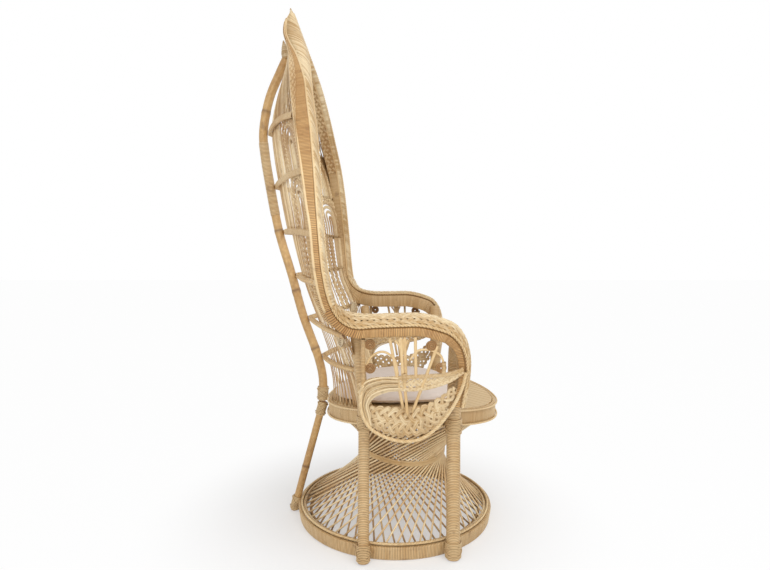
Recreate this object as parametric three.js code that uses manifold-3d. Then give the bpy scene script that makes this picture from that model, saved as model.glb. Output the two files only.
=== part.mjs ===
// Peacock chair: a woven rattan armchair with a tall pointed back, basket arms
// and an hourglass base of crossed stakes. Lengths are in millimetres.
// +Z is up, the chair faces -Y, and left and right are the sitter's own, so +X is left.

import * as THREE from 'three';
import { mergeVertices } from 'three/addons/utils/BufferGeometryUtils.js';
import Module from 'manifold-3d';

const wasm = await Module();
wasm.setup();

// Driving sizes

const touch = 0.3; // clearance between two pieces that lie on each other

const base = {
  radius: 304,
  flare: 6,
  height: 38,
  wall: 12,
  beadRadius: 4,
  beadSides: 5,
  segments: 40,
};

const seat = {
  forward: 54, // how far the seat's centre lies in front of the base's centre
  halfWidth: 264,
  halfDepth: 260,
  height: 385, // top of the band, halfway between its high sides and its low front
  lift: 15, // the sides rise and the front and rear dip by this much
  band: 45,
  wall: 11,
  beadRadius: 3,
  beadSides: 5,
  deck: 8,
  segments: 40,
};

const stakes = {
  count: 56,
  radius: 2.6,
  waistRadius: 125,
  gap: 7.4, // between the two families at the waist
  hoopWall: 6,
  hoopHeight: 17,
  hoopStep: 14,
  spread: 17,
  headroom: 1.5,
};
const waistBinding = { radius: 3.2, sides: 5 };

const cushion = { radius: 204, forward: 16, thickness: 42, crown: 12, segments: 30 };

const frontLeg = { radius: 19, forward: 154, topWidth: 307, topHeight: 630, lean: 0 };
const rearLeg = { radius: 15.5, forward: -88, topWidth: 310, topHeight: 630, lean: 17 };
const poleSides = 12;
const lashing = { thickness: 3, height: 42, spanAngle: 3.7, foot: 4, steps: 6 };

const spine = { radius: 14, reach: 402, height: 1420, footDrop: 27, tipLength: 45, tipSides: 8 };
const strut = { radius: 12, gap: 6 }; // the gap lies between its top and the spine's foot

const rib = { height: 16, thickness: 6 };
const panel = {
  strandRadius: 2.8,
  rowHeight: 9,
  rowThickness: 7,
  slack: 6,
  footClearance: 0.6,
};

const back = { halfWidth: 465, rake: 311, height: 1552 };
const arm = { halfWidth: 330, reach: 178, height: 674 };

// The rim's section: a woven roll or armrest on two wrapped bands. Sideways sizes run
// outward from the crown line, deep sizes run from it into the chair's thickness.
const rimSection = {
  bandThickness: 7,
  clearance: 0.8,
  tipWidth: 2,
  // Side and deep places of the face, its thickness, and the depths of the two bands.
  tip: { inner: 2, innerDrop: 2, outer: 4, outerDrop: 2, rise: 0, weave: 3, outerDepth: 2, innerDepth: 2 },
  crest: { inner: 26, innerDrop: 14, outer: 28, outerDrop: 36, rise: 25, weave: 9, outerDepth: 6, innerDepth: 20 },
  back: { inner: 26, innerDrop: 14, outer: 28, outerDrop: 10, rise: 12, weave: 9, outerDepth: 41, innerDepth: 26 },
  low: { inner: 26, innerDrop: 14, outer: 28, outerDrop: 4, rise: 9, weave: 9, outerDepth: 15, innerDepth: 6 },
  arm: { inner: 4, innerDrop: 6, outer: 56, outerDrop: 24, rise: 8, weave: 9, outerDepth: 20, innerDepth: 40 },
  front: { inner: 8, innerDrop: 9, outer: 26, outerDrop: 6, rise: 5, weave: 9, outerDepth: 14, innerDepth: 14 },
};

// The side screen leans out from its foot to the arm's outer band.
const screen = {
  footWidth: 328,
  footHeight: 342,
  caneRadius: 4,
  caneSides: 4,
  loopRadius: 5,
  loopSides: 5,
  archWidth: 9,
  archThickness: 6,
  discRadius: 14,
  discThickness: 9,
  discSides: 8,
  arcRadius: 2.6,
  latticeWidth: 13,
  latticeThickness: 5,
  latticeSwing: 24,
};

// Shares of the sizes above

// How far along the rim's places its section changes: first and last place of each change.
const sectionSpans = [['crest', 0, 2.1], ['back', 2, 4.8], ['low', 5.8, 9], ['arm', 10.5, 12.5], ['front', 17, 20]];

// Rim crown line from the tip down: shares of the back's half width, rake and height.
const backRimShares = [
  [0.065, 0.952, 0.974],
  [0.183, 0.868, 0.928],
  [0.366, 0.781, 0.877],
  [0.57, 0.72, 0.822],
  [0.699, 0.678, 0.776],
  [0.817, 0.633, 0.727],
  [0.903, 0.598, 0.669],
  [0.978, 0.566, 0.595],
  [1, 0.55, 0.555],
  [0.978, 0.527, 0.501],
  [0.903, 0.489, 0.462],
];
// The same line along the arm and down its front: shares of the arm's half width, reach and height.
const armRimShares = [
  [1.136, -0.702, 1.016],
  [1.045, -0.449, 1],
  [1.006, 0, 1],
  [1, 0.337, 1],
  [1, 0.64, 0.982],
  [1.005, 0.848, 0.957],
  [1.012, 0.983, 0.908],
  [1.012, 1.045, 0.84],
  [0.988, 1.04, 0.75],
  [0.975, 0.983, 0.64],
];
// Spine centre line: shares of its rearward reach and its height.
const spineShares = [
  [0.562, 0.3],
  [0.592, 0.343],
  [0.711, 0.44],
  [0.796, 0.53],
  [0.888, 0.621],
  [0.963, 0.737],
  [0.988, 0.785],
  [1, 0.835],
  [0.95, 0.908],
  [0.863, 0.965],
  [0.82, 0.99],
];
// The leaf on top of the spine: shares of its length and of the spine's radius.
const tipShares = [
  [0, 1],
  [0.3, 1.15],
  [0.7, 0.7],
  [1, 0.12],
];
// Side edge of the woven back: shares of the back's half width, rake and height.
const panelEdgeShares = [
  [0.484, 0.2, 0.25],
  [0.548, 0.334, 0.327],
  [0.856, 0.437, 0.405],
  [0.94, 0.58, 0.463],
  [0.985, 0.61, 0.487],
  [1.02, 0.635, 0.537],
  [1.02, 0.645, 0.565],
  [1.012, 0.655, 0.594],
  [0.974, 0.69, 0.624],
  [0.95, 0.716, 0.654],
  [0.91, 0.748, 0.686],
  [0.843, 0.8, 0.727],
  [0.723, 0.855, 0.776],
  [0.553, 0.91, 0.838],
  [0.4, 0.965, 0.885],
];
// Each rib's height at the spine, and how far its ends rise, as shares of the back's height.
const ribShares = [
  [0.321, 0.005],
  [0.398, 0.002],
  [0.484, 0.004],
  [0.57, -0.01],
  [0.659, -0.004],
  [0.764, -0.018],
];
// The back's plan: 0 runs straight from spine to edge, 1 bends as an ellipse.
const planShares = { low: 0.7, high: 0.2, until: 0.4 };
// Where the upright strands stand between the spine, at 0, and the edge, at 1.
const strandShares = [0.24, 0.33, 0.42, 0.51, 0.6, 0.68, 0.76, 0.84];
const panelTopShare = 0.882;
// Side screen places: shares of the arm's reach forward and of the height up to the arm's outer band.
const loopShares = [
  [-0.479, 0.8],
  [-0.515, 0.73],
  [-0.49, 0.668],
  [-0.385, 0.61],
  [-0.169, 0.569],
  [0.093, 0.549],
  [0.339, 0.56],
  [0.553, 0.605],
  [0.72, 0.668],
  [0.854, 0.739],
  [0.93, 0.8],
  [0.96, 0.85],
];
const archShares = [
  [
    [-0.493, 0.8],
    [-0.351, 0.817],
    [-0.098, 0.823],
    [0.183, 0.83],
    [0.463, 0.834],
    [0.743, 0.843],
    [0.93, 0.862],
  ],
  [
    [-0.482, 0.721],
    [-0.381, 0.756],
    [-0.211, 0.774],
    [-0.013, 0.778],
    [0.213, 0.776],
    [0.467, 0.786],
    [0.747, 0.815],
    [0.93, 0.852],
  ],
];
const spokeShares = [
  [[-0.107, 0.998], [0.088, 0.695]],
  [[0.046, 0.998], [0.084, 0.826]],
  [[0.101, 0.998], [0.126, 0.826]],
  [[0.098, 0.83], [0.154, 0.662]],
  [[0.25, 0.998], [0.267, 0.826]],
  [[0.56, 0.962], [0.225, 0.677]],
];
const stileShares = [
  [[-0.47, 0.99], [-0.482, 0.721]],
  [[0.654, 0.894], [0.654, 0.838]],
];
const arcShares = [
  [[-0.434, 0.877], [-0.349, 0.919], [-0.196, 0.937], [-0.043, 0.907], [0.014, 0.84]],
  [[0.18, 0.903], [0.289, 0.941], [0.455, 0.944], [0.596, 0.924], [0.654, 0.89]],
];
const discShares = [
  [-0.376, 0.967],
  [-0.378, 0.867],
  [0.473, 0.962],
  [0.615, 0.869],
];
const latticeShares = { rear: -0.4, front: 0.6, rearHeight: 0.652, frontHeight: 0.717, waves: 2.5 };

// A leg's bends: how far out and up from foot to seat, and then how far out, back and up to its top.
const legBendShares = { lowOut: 0.6, lowUp: 0.55, highOut: 0.45, highBack: 0.4, highUp: 0.5 };
// The pad's outline: shares of its radius and of half its thickness, and then of its crown.
const padSideShares = [
  [0, 0],
  [0.25, 0],
  [0.5, 0],
  [0.74, 0],
  [0.93, 0.18],
  [0.99, 0.6],
  [0.975, 1],
  [0.99, 1.4],
  [0.93, 1.85],
];
const padTopShares = [
  [0.72, 0.45],
  [0.38, 0.85],
  [0, 1],
];

// Colours

const finish = {
  cane: { color: 0xcfa972, roughness: 0.62, metalness: 0 },
  pole: { color: 0xb98d55, roughness: 0.5, metalness: 0 },
  weave: { color: 0xdcc08e, roughness: 0.7, metalness: 0 },
  cloth: { color: 0xe6d6c8, roughness: 0.9, metalness: 0 },
};

// Geometry helpers

const up = new THREE.Vector3(0, 0, 1);
const sideways = new THREE.Vector3(1, 0, 0);

function vec(x, y, z) {
  return new THREE.Vector3(x, y, z);
}

function mix(a, b, share) {
  return a + (b - a) * share;
}

function smooth(from, to, value) {
  return THREE.MathUtils.smoothstep(value, from, to);
}

function last(list) {
  return list[list.length - 1];
}

// Points spread evenly over a smooth curve through the given points.
function along(points, steps, closed = false) {
  const curve = new THREE.CatmullRomCurve3(points, closed, 'centripetal');
  const result = curve.getPoints(steps);
  return closed ? result.slice(0, steps) : result;
}

// A station for every point of a path: its place, the direction along the path, a side
// direction and a deep direction. The side direction follows the hint where one is given.
function stationsOf(points, closed = false, hint = null) {
  const count = points.length;
  let carried = null;
  return points.map((at, i) => {
    const before = closed ? points[(i + count - 1) % count] : points[Math.max(i - 1, 0)];
    const after = closed ? points[(i + 1) % count] : points[Math.min(i + 1, count - 1)];
    const ahead = after.clone().sub(before).normalize();
    let wanted = hint ? hint(at, ahead) : carried;
    if (!wanted) wanted = Math.abs(ahead.dot(up)) < Math.SQRT1_2 ? up : sideways;
    const side = wanted.clone().addScaledVector(ahead, -wanted.dot(ahead)).normalize();
    carried = side;
    return { at, ahead, side, deep: side.clone().cross(ahead) };
  });
}

// A solid through one ring of points per station, with flat ends or closed on itself.
function loft(rings, ends) {
  const size = rings[0].length;
  const corners = [];
  const face = (a, b, c) => corners.push(a.x, a.y, a.z, b.x, b.y, b.z, c.x, c.y, c.z);
  const spans = ends ? rings.length - 1 : rings.length;
  for (let i = 0; i < spans; i += 1) {
    const near = rings[i];
    const far = rings[(i + 1) % rings.length];
    for (let k = 0; k < size; k += 1) {
      const next = (k + 1) % size;
      face(near[k], near[next], far[next]);
      face(near[k], far[next], far[k]);
    }
  }
  if (ends) {
    for (const [a, b, c] of ends[0]) face(rings[0][a], rings[0][c], rings[0][b]);
    for (const [a, b, c] of ends[1]) face(last(rings)[a], last(rings)[b], last(rings)[c]);
  }
  return outward(corners);
}

// A geometry from a list of corners, turned so that its faces point outward.
function outward(corners) {
  const a = vec(0, 0, 0);
  const b = vec(0, 0, 0);
  const c = vec(0, 0, 0);
  let volume = 0;
  for (let i = 0; i < corners.length; i += 9) {
    a.fromArray(corners, i);
    b.fromArray(corners, i + 3);
    c.fromArray(corners, i + 6);
    volume += a.dot(b.cross(c));
  }
  if (volume < 0) {
    for (let i = 0; i < corners.length; i += 9) {
      for (let k = 0; k < 3; k += 1) {
        [corners[i + k], corners[i + 3 + k]] = [corners[i + 3 + k], corners[i + k]];
      }
    }
  }
  const geometry = new THREE.BufferGeometry();
  geometry.setAttribute('position', new THREE.Float32BufferAttribute(corners, 3));
  return mergeVertices(geometry);
}

// Sweeps a section along stations. The section is a list of side and deep offsets, or a
// function that gives one for each station.
function sweep(stations, section, closed = false) {
  const outlines = stations.map((station, i) => (typeof section === 'function' ? section(i) : section));
  const rings = stations.map((station, i) =>
    outlines[i].map(([side, deep]) =>
      station.at.clone().addScaledVector(station.side, side).addScaledVector(station.deep, deep)));
  if (closed) return loft(rings, null);
  const cap = (outline) =>
    THREE.ShapeUtils.triangulateShape(outline.map(([side, deep]) => new THREE.Vector2(side, deep)), []);
  return loft(rings, [cap(outlines[0]), cap(last(outlines))]);
}

function circle(radius, sides) {
  return Array.from({ length: sides }, (_, i) => {
    const angle = (i / sides) * 2 * Math.PI;
    return [radius * Math.cos(angle), radius * Math.sin(angle)];
  });
}

function rectangle(sideFrom, sideTo, deepFrom, deepTo) {
  return [[sideFrom, deepFrom], [sideTo, deepFrom], [sideTo, deepTo], [sideFrom, deepTo]];
}

function rod(points, radius, sides, closed = false) {
  return sweep(stationsOf(points, closed), circle(radius, sides), closed);
}

// A solid whose every section lies level, so that its foot stands flat.
function levelLoft(points, outlineAt) {
  const outlines = points.map((_, i) => outlineAt(i));
  const rings = points.map((at, i) => outlines[i].map(([x, y]) => vec(at.x + x, at.y + y, at.z)));
  const cap = (outline) =>
    THREE.ShapeUtils.triangulateShape(outline.map(([x, y]) => new THREE.Vector2(x, y)), []);
  return loft(rings, [cap(outlines[0]), cap(last(outlines))]);
}

function pole(points, radius, sides) {
  return levelLoft(points, () => circle(radius, sides));
}

// The point at a height on a line of points that climbs.
function pointAt(points, height) {
  const next = Math.max(1, points.findIndex((p, i) => i > 0 && p.z >= height));
  const [low, high] = [points[next - 1], points[next]];
  return low.clone().lerp(high, (height - low.z) / (high.z - low.z));
}

// The stretch of a climbing line between two heights.
function stretch(points, from, to) {
  return [pointAt(points, from), ...points.filter((p) => p.z > from && p.z < to), pointAt(points, to)];
}

function toManifold(geometry) {
  const merged = mergeVertices(geometry);
  return new wasm.Manifold(new wasm.Mesh({
    numProp: 3,
    vertProperties: new Float32Array(merged.attributes.position.array),
    triVerts: new Uint32Array(merged.index.array),
  }));
}

// Joins pieces that run into each other into one solid.
function join(geometries) {
  let result = toManifold(geometries[0]);
  for (const geometry of geometries.slice(1)) result = result.add(toManifold(geometry));
  const mesh = result.getMesh();
  const positions = [];
  for (let i = 0; i < mesh.vertProperties.length; i += mesh.numProp) {
    positions.push(...mesh.vertProperties.slice(i, i + 3));
  }
  const geometry = new THREE.BufferGeometry();
  geometry.setAttribute('position', new THREE.Float32BufferAttribute(positions, 3));
  geometry.setIndex(Array.from(mesh.triVerts));
  return geometry;
}

// The same shape on the sitter's right.
function mirrored(geometry) {
  const source = geometry.toNonIndexed().attributes.position;
  const corners = [];
  for (let i = 0; i < source.count; i += 1) corners.push(-source.getX(i), source.getY(i), source.getZ(i));
  return outward(corners);
}

const chair = new THREE.Group();

function add(name, geometry, look) {
  const mesh = new THREE.Mesh(geometry, new THREE.MeshStandardMaterial(look));
  mesh.geometry.computeVertexNormals();
  mesh.name = name;
  chair.add(mesh);
}

function addPair(name, geometry, look) {
  add(`${name}_left`, geometry, look);
  add(`${name}_right`, mirrored(geometry), look);
}

// How far a many-sided ring lies inside its round line, at an angle or, without one, at most.
function flatSag(radius, sides, angle = Math.PI / sides) {
  const step = (2 * Math.PI) / sides;
  const offset = angle - step * (Math.floor(angle / step) + 0.5);
  return radius * (1 - Math.cos(Math.PI / sides) / Math.cos(offset));
}

// Base ring

function baseRadiusAt(height) {
  return base.radius - base.flare * (height / base.height);
}

function lathe(profile, segments) {
  const geometry = new THREE.LatheGeometry(profile.map(([r, z]) => new THREE.Vector2(r, z)), segments);
  geometry.rotateX(Math.PI / 2);
  geometry.deleteAttribute('normal');
  geometry.deleteAttribute('uv');
  return outward(Array.from(geometry.toNonIndexed().attributes.position.array));
}

function buildBase() {
  const top = baseRadiusAt(base.height);
  const band = lathe([
    [base.radius, 0],
    [top, base.height],
    [top - base.wall, base.height],
    [base.radius - base.wall, 0],
    [base.radius, 0],
  ], base.segments);
  add('base_ring', band, finish.cane);
  const middle = top - base.wall / 2;
  const lift = base.height + touch + base.beadRadius;
  const bead = circle(base.beadRadius, base.beadSides).map(([r, z]) => [middle + r, lift + z]);
  add('base_bead', lathe([...bead, bead[0]], base.segments), finish.cane);
}

// Seat: an oval band with raised sides, its deck and its two beads

function seatPoint(angle, outset, drop) {
  return vec(
    (seat.halfWidth + outset) * Math.sin(angle),
    (seat.halfDepth + outset) * Math.cos(angle) - seat.forward,
    seat.height - seat.lift * Math.cos(2 * angle) - drop,
  );
}

// Height of the seat's top under a point.
function seatTopAt(x, y) {
  const across = x / seat.halfWidth;
  const forth = (y + seat.forward) / seat.halfDepth;
  return seat.height + seat.lift * (across * across - forth * forth);
}

function seatLoop(outset, drop) {
  return Array.from({ length: seat.segments }, (_, i) => seatPoint((i / seat.segments) * 2 * Math.PI, outset, drop));
}

// Bends a flat disc into the seat's raised sides.
function bendToSeat(geometry, width, depth, forward, rise) {
  const place = geometry.attributes.position;
  for (let i = 0; i < place.count; i += 1) {
    const x = place.getX(i) * width;
    const y = place.getY(i) * depth - forward;
    place.setXYZ(i, x, y, place.getZ(i) + rise + seatTopAt(x, y));
  }
  return geometry;
}

function buildSeat() {
  const stations = stationsOf(seatLoop(0, 0), true, () => up);
  const band = sweep(stations, rectangle(-seat.band, 0, -seat.wall, 0), true);
  add('seat_ring', band, finish.cane);
  const out = seat.beadRadius + touch;
  const drops = { upper: seat.beadRadius, lower: seat.band - seat.beadRadius };
  for (const [place, drop] of Object.entries(drops)) {
    add(`seat_bead_${place}`, rod(seatLoop(out, drop), seat.beadRadius, seat.beadSides, true), finish.cane);
  }
  const inset = seat.wall + touch;
  const deckRings = [1, 0.75, 0.5, 0.25, 0].map((share) => [share, 0]);
  const disc = lathe([[0, -seat.deck], [0.5, -seat.deck], [1, -seat.deck], ...deckRings], seat.segments);
  const bent = bendToSeat(disc, seat.halfWidth - inset, seat.halfDepth - inset, seat.forward, 0);
  add('seat_deck', bent, finish.weave);
  buildCushion();
}

// A round pad: crown above, flatter below, sides drawn in at the seam
function buildCushion() {
  const half = cushion.thickness / 2;
  const profile = [
    ...padSideShares.map(([out, rise]) => [out, half * rise]),
    ...padTopShares.map(([out, rise]) => [out, cushion.thickness + cushion.crown * rise]),
  ];
  const pad = lathe(profile, cushion.segments);
  const bent = bendToSeat(pad, cushion.radius, cushion.radius, cushion.forward, 2 * touch);
  add('seat_cushion', bent, finish.cloth);
}

// Hourglass of straight stakes: two families that lean opposite ways

// The hoops that hold a family's ends stand inside the two bands. The inner family's
// hoops lie further from the waist, so that the outer stakes pass them.
function stakeHoops(family) {
  const half = stakes.hoopWall / 2;
  const sag = flatSag(base.radius, base.segments);
  const inset = (wall) => wall + touch + sag + half + family.inner * stakes.spread;
  const nearEnd = stakes.hoopHeight / 2 + stakes.headroom;
  const step = (1 - family.inner) * stakes.hoopStep;
  const footHeight = nearEnd + stakes.hoopHeight / 2 + step;
  return {
    footHeight,
    footRadius: baseRadiusAt(base.height) - inset(base.wall),
    topInset: inset(seat.wall),
    topDrop: seat.deck + nearEnd + step,
  };
}

function stakeEnds(family) {
  const { footHeight, footRadius, topInset, topDrop } = stakeHoops(family);
  const topRadius = (seat.halfWidth + seat.halfDepth) / 2 - topInset;
  const twist = Math.acos(family.waist / footRadius) + Math.acos(family.waist / topRadius);
  const ends = (i) => {
    const angle = (i / stakes.count) * 2 * Math.PI;
    const foot = vec(footRadius * Math.sin(angle), footRadius * Math.cos(angle), footHeight);
    const top = seatPoint(angle - family.lean * twist, -topInset, 0);
    return [foot, top.setZ(seatTopAt(top.x, top.y) - topDrop)];
  };
  return { ends, waistShare: footRadius / (footRadius + topRadius) };
}

// The four corner rings of a hoop: low outside, high outside, high inside, low inside.
function hoopRings(centres) {
  const high = stakes.hoopHeight / 2;
  const wide = stakes.hoopWall / 2;
  const middle = centres.reduce((sum, p) => sum.add(p), vec(0, 0, 0)).divideScalar(centres.length);
  return [[1, -1], [1, 1], [-1, 1], [-1, -1]].map(([out, rise]) => centres.map((centre) => {
    const away = vec(centre.x - middle.x, centre.y - middle.y, 0).normalize();
    return centre.clone().addScaledVector(away, out * wide).add(vec(0, 0, rise * high));
  }));
}

function normalOf(a, b, c) {
  return b.clone().sub(a).cross(c.clone().sub(a));
}

// Collects triangles, each turned away from a point inside the solid.
function triangleBin() {
  const corners = [];
  const triangle = (a, b, c, inside) => {
    const away = normalOf(a, b, c).dot(a.clone().sub(inside)) > 0;
    for (const p of away ? [a, b, c] : [a, c, b]) corners.push(p.x, p.y, p.z);
  };
  // Split along the diagonal that leaves two triangles with the same facing.
  const quad = (a, b, c, d, inside) => {
    const first = normalOf(a, b, c).dot(normalOf(a, c, d)) > 0;
    triangle(a, b, first ? c : d, inside);
    triangle(first ? a : b, c, d, inside);
  };
  return { corners, quad };
}

// Where a line meets the plane through three points.
function meet(from, direction, [a, b, c]) {
  const normal = normalOf(a, b, c);
  const share = a.clone().sub(from).dot(normal) / direction.dot(normal);
  return from.clone().addScaledVector(direction, share);
}

// Two hoops and the stakes between them as one solid: each stake grows out of the middle of
// its own flat side of either hoop.
function stakeFamily(all) {
  const count = all.length;
  const halfway = (place) => all.map((pair, i) => pair[place].clone().lerp(all[(i + count - 1) % count][place], 0.5));
  const hoops = [0, 1].map((place) => ({ centres: halfway(place), rings: hoopRings(halfway(place)) }));
  const bin = triangleBin();
  all.forEach(([foot, top], i) => {
    const next = (i + 1) % count;
    const ahead = top.clone().sub(foot).normalize();
    const across = ahead.clone().cross(up).normalize();
    const rise = across.clone().cross(ahead);
    const out = stakes.radius * Math.SQRT1_2;
    const corner = (a, r) => foot.clone().addScaledVector(across, a * out).addScaledVector(rise, r * out);
    const roots = hoops.map(({ centres, rings }) => {
      const [lowOut, highOut, highIn, lowIn] = rings;
      const inside = centres[i].clone().lerp(centres[next], 0.5);
      bin.quad(lowOut[i], lowOut[next], highOut[next], highOut[i], inside);
      bin.quad(highOut[i], highOut[next], highIn[next], highIn[i], inside);
      bin.quad(lowIn[i], lowIn[next], lowOut[next], lowOut[i], inside);
      const side = [lowIn[i], lowIn[next], highIn[next], highIn[i]];
      const turn = Math.sign(across.dot(side[1].clone().sub(side[0])));
      const order = [[-turn, -1], [turn, -1], [turn, 1], [-turn, 1]];
      const root = order.map(([a, r]) => meet(corner(a, r), ahead, side));
      root.forEach((point, k) => {
        const after = (k + 1) % 4;
        bin.quad(side[k], side[after], root[after], point, inside);
      });
      return Object.fromEntries(order.map(([a, r], k) => [`${a} ${r}`, root[k]]));
    });
    const axis = foot.clone().lerp(top, 0.5);
    const keys = ['-1 -1', '1 -1', '1 1', '-1 1'];
    keys.forEach((key, k) => {
      const after = keys[(k + 1) % 4];
      bin.quad(roots[0][key], roots[0][after], roots[1][after], roots[1][key], axis);
    });
  });
  return outward(bin.corners);
}

function buildFamily(name, family) {
  const { ends } = stakeEnds(family);
  add(name, stakeFamily(Array.from({ length: stakes.count }, (_, i) => ends(i))), finish.pole);
}

function buildHourglass() {
  const outer = { inner: 0, waist: stakes.waistRadius, lean: 1 };
  const inner = { inner: 1, waist: stakes.waistRadius - 2 * stakes.radius - stakes.gap, lean: -1 };
  buildFamily('outer_stakes', outer);
  buildFamily('inner_stakes', inner);
  const { ends, waistShare } = stakeEnds(outer);
  const centre = vec(0, -seat.forward * waistShare, 0);
  const loop = [];
  for (let i = 0; i < stakes.count; i += 2) {
    const [foot, top] = ends(i);
    const point = foot.clone().lerp(top, waistShare);
    const away = vec(point.x - centre.x, point.y - centre.y, 0);
    const sag = away.length() * (1 - Math.cos((2 * Math.PI) / stakes.count));
    away.normalize();
    loop.push(point.addScaledVector(away, stakes.radius + touch + waistBinding.radius + sag));
  }
  add('waist_binding', rod(loop, waistBinding.radius, waistBinding.sides, true), finish.cane);
}

// Legs: wrapped poles from the floor, past the seat band, to the underside of the arm

function legPath(leg) {
  const footReach = base.radius + leg.radius + touch;
  const y = -leg.forward;
  const turn = Math.acos((y + seat.forward) / seat.halfDepth);
  const bead = seat.beadRadius * (1 + Math.cos(Math.PI / seat.beadSides));
  const outset = bead + 2 * touch + leg.radius - flatSag(seat.halfWidth, seat.segments, turn);
  const across = (y + seat.forward) / (seat.halfDepth + outset);
  const seatWidth = (seat.halfWidth + outset) * Math.sqrt(1 - across * across);
  const footWidth = Math.sqrt(footReach * footReach - y * y);
  const middle = seat.height - seat.band / 2;
  const bend = legBendShares;
  const highOut = mix(seatWidth, leg.topWidth, bend.highOut);
  return [
    vec(footWidth, y, 0),
    vec(mix(footWidth, seatWidth, bend.lowOut), y, middle * bend.lowUp),
    vec(seatWidth, y, middle),
    vec(highOut, y + leg.lean * bend.highBack, mix(middle, leg.topHeight, bend.highUp)),
    vec(leg.topWidth, y + leg.lean, leg.topHeight),
  ];
}

// An open collar of cane round a pole, on the side that faces away from the chair.
function collar(points, radius, facing) {
  const { steps, spanAngle } = lashing;
  const middle = Math.atan2(facing.y, facing.x);
  const inner = (radius + touch) / Math.cos(spanAngle / steps / 2);
  const arc = (r, i) => {
    const angle = middle + (i / steps - 0.5) * spanAngle;
    return [r * Math.cos(angle), r * Math.sin(angle)];
  };
  const outline = [];
  for (let i = 0; i <= steps; i += 1) outline.push(arc(inner + lashing.thickness, i));
  for (let i = steps; i >= 0; i -= 1) outline.push(arc(inner, i));
  return levelLoft(points, () => outline);
}

function buildLegs() {
  for (const [name, leg] of Object.entries({ front: frontLeg, rear: rearLeg })) {
    const line = along(legPath(leg), 7);
    addPair(`leg_${name}`, pole(line, leg.radius, poleSides), finish.cane);
    const out = vec(line[0].x, line[0].y, 0).normalize();
    const foot = stretch(line, lashing.foot, lashing.foot + lashing.height);
    addPair(`foot_lashing_${name}`, collar(foot, leg.radius, out), finish.weave);
    const low = seat.height - seat.band;
    const middle = stretch(line, low, low + lashing.height);
    addPair(`seat_lashing_${name}`, collar(middle, leg.radius, out), finish.weave);
  }
}

// Rear strut and spine, in the middle plane

function seatRear() {
  return seat.halfDepth - seat.forward + 2 * seat.beadRadius + 2 * touch;
}

const spineFoot = seat.height - spine.footDrop;
const strutTop = spineFoot - strut.gap;

// The strut leans on the base ring's top edge and on the seat's rear.
function strutPath() {
  const top = seatRear() + strut.radius;
  const rest = baseRadiusAt(base.height) + strut.radius + touch;
  const share = base.height / strutTop;
  return [vec(0, (rest - top * share) / (1 - share), 0), vec(0, top, strutTop)];
}

function spinePath() {
  const foot = vec(0, seatRear() + spine.radius, spineFoot);
  return [foot, ...spineShares.map(([reach, height]) => vec(0, reach * spine.reach, height * spine.height))];
}

const spineLine = along(spinePath(), 16);

function buildSpine() {
  const strutLine = strutPath();
  add('rear_strut', pole(strutLine, strut.radius, poleSides), finish.pole);
  add('spine', pole(spineLine, spine.radius, poleSides), finish.pole);
  const rearward = vec(0, 1, 0);
  const wrap = (line, from, radius) => collar(stretch(line, from, from + lashing.height), radius, rearward);
  add('strut_foot_lashing', wrap(strutLine, lashing.foot, strut.radius), finish.weave);
  add('strut_top_lashing', wrap(strutLine, strutTop - lashing.height, strut.radius), finish.weave);
  add('spine_lashing', wrap(spineLine, spineFoot, spine.radius), finish.weave);
  const end = last(spineLine);
  const ahead = end.clone().sub(spineLine[spineLine.length - 2]).normalize();
  const leaf = tipShares.map(([rise]) => {
    const point = end.clone().addScaledVector(ahead, rise * spine.tipLength);
    return point.setZ(point.z + touch);
  });
  const outline = (i) => circle(spine.radius * tipShares[i][1], spine.tipSides);
  add('spine_tip', levelLoft(leaf, outline), finish.weave);
}

// Woven back: a hollow that runs from the rim round to the spine

const edgeCurve = new THREE.CatmullRomCurve3(
  panelEdgeShares.map(([w, d, h]) => vec(w * back.halfWidth, d * back.rake, h * back.height)),
  false,
  'centripetal',
);
const edgeSteps = 600;
const edgeFine = edgeCurve.getPoints(edgeSteps);

function edgeAt(height) {
  return edgeFine.reduce((best, p) => (Math.abs(p.z - height) < Math.abs(best.z - height) ? p : best));
}

// How far back the woven back may reach at a height: a rib clears the spine there.
function rearAt(height) {
  return pointAt(spineLine, height).y - spine.radius - touch;
}

// A point of the back: turn 0 is at the spine and turn 1 at the left edge; inset moves it inward.
function backPoint(turn, height, inset) {
  const edge = edgeAt(height);
  const depth = rearAt(height) - edge.y;
  const angle = turn * (Math.PI / 2);
  const side = Math.abs(turn);
  const { low, high, until } = planShares;
  const bend = mix(low, high, smooth(seat.height, until * back.height, height));
  const inward = vec(
    -depth * mix(Math.sign(turn), Math.sin(angle), bend),
    -edge.x * mix(1, Math.cos(angle), bend),
    0,
  ).normalize();
  const point = vec(
    edge.x * mix(turn, Math.sin(angle), bend),
    edge.y + depth * mix(1 - side, Math.cos(angle), bend),
    height,
  );
  return point.addScaledVector(inward, inset);
}

// The turns at which ribs and rows have their corners, halfway between strands.
function halfwayTurns() {
  const [first, second] = strandShares;
  const [end, beforeEnd] = [...strandShares].reverse();
  const stops = [2 * first - second, ...strandShares, 2 * end - beforeEnd];
  return stops.slice(1).map((turn, i) => (stops[i] + turn) / 2);
}

const rowTurns = halfwayTurns();

function ribHeight([height, rise], turn) {
  return (height + rise * turn * turn) * back.height;
}

// Stations along a line of places on the back; their side direction climbs its surface.
function backStations(turns, heightAt, inset) {
  const points = turns.map((turn) => backPoint(turn, heightAt(turn), inset));
  const climbs = turns.map((turn) => {
    const [low, high] = [-1, 1].map((sign) => backPoint(turn, heightAt(turn) + sign * rib.height / 2, inset));
    return high.sub(low);
  });
  return stationsOf(points, false, (at) => climbs[points.indexOf(at)]);
}

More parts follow.
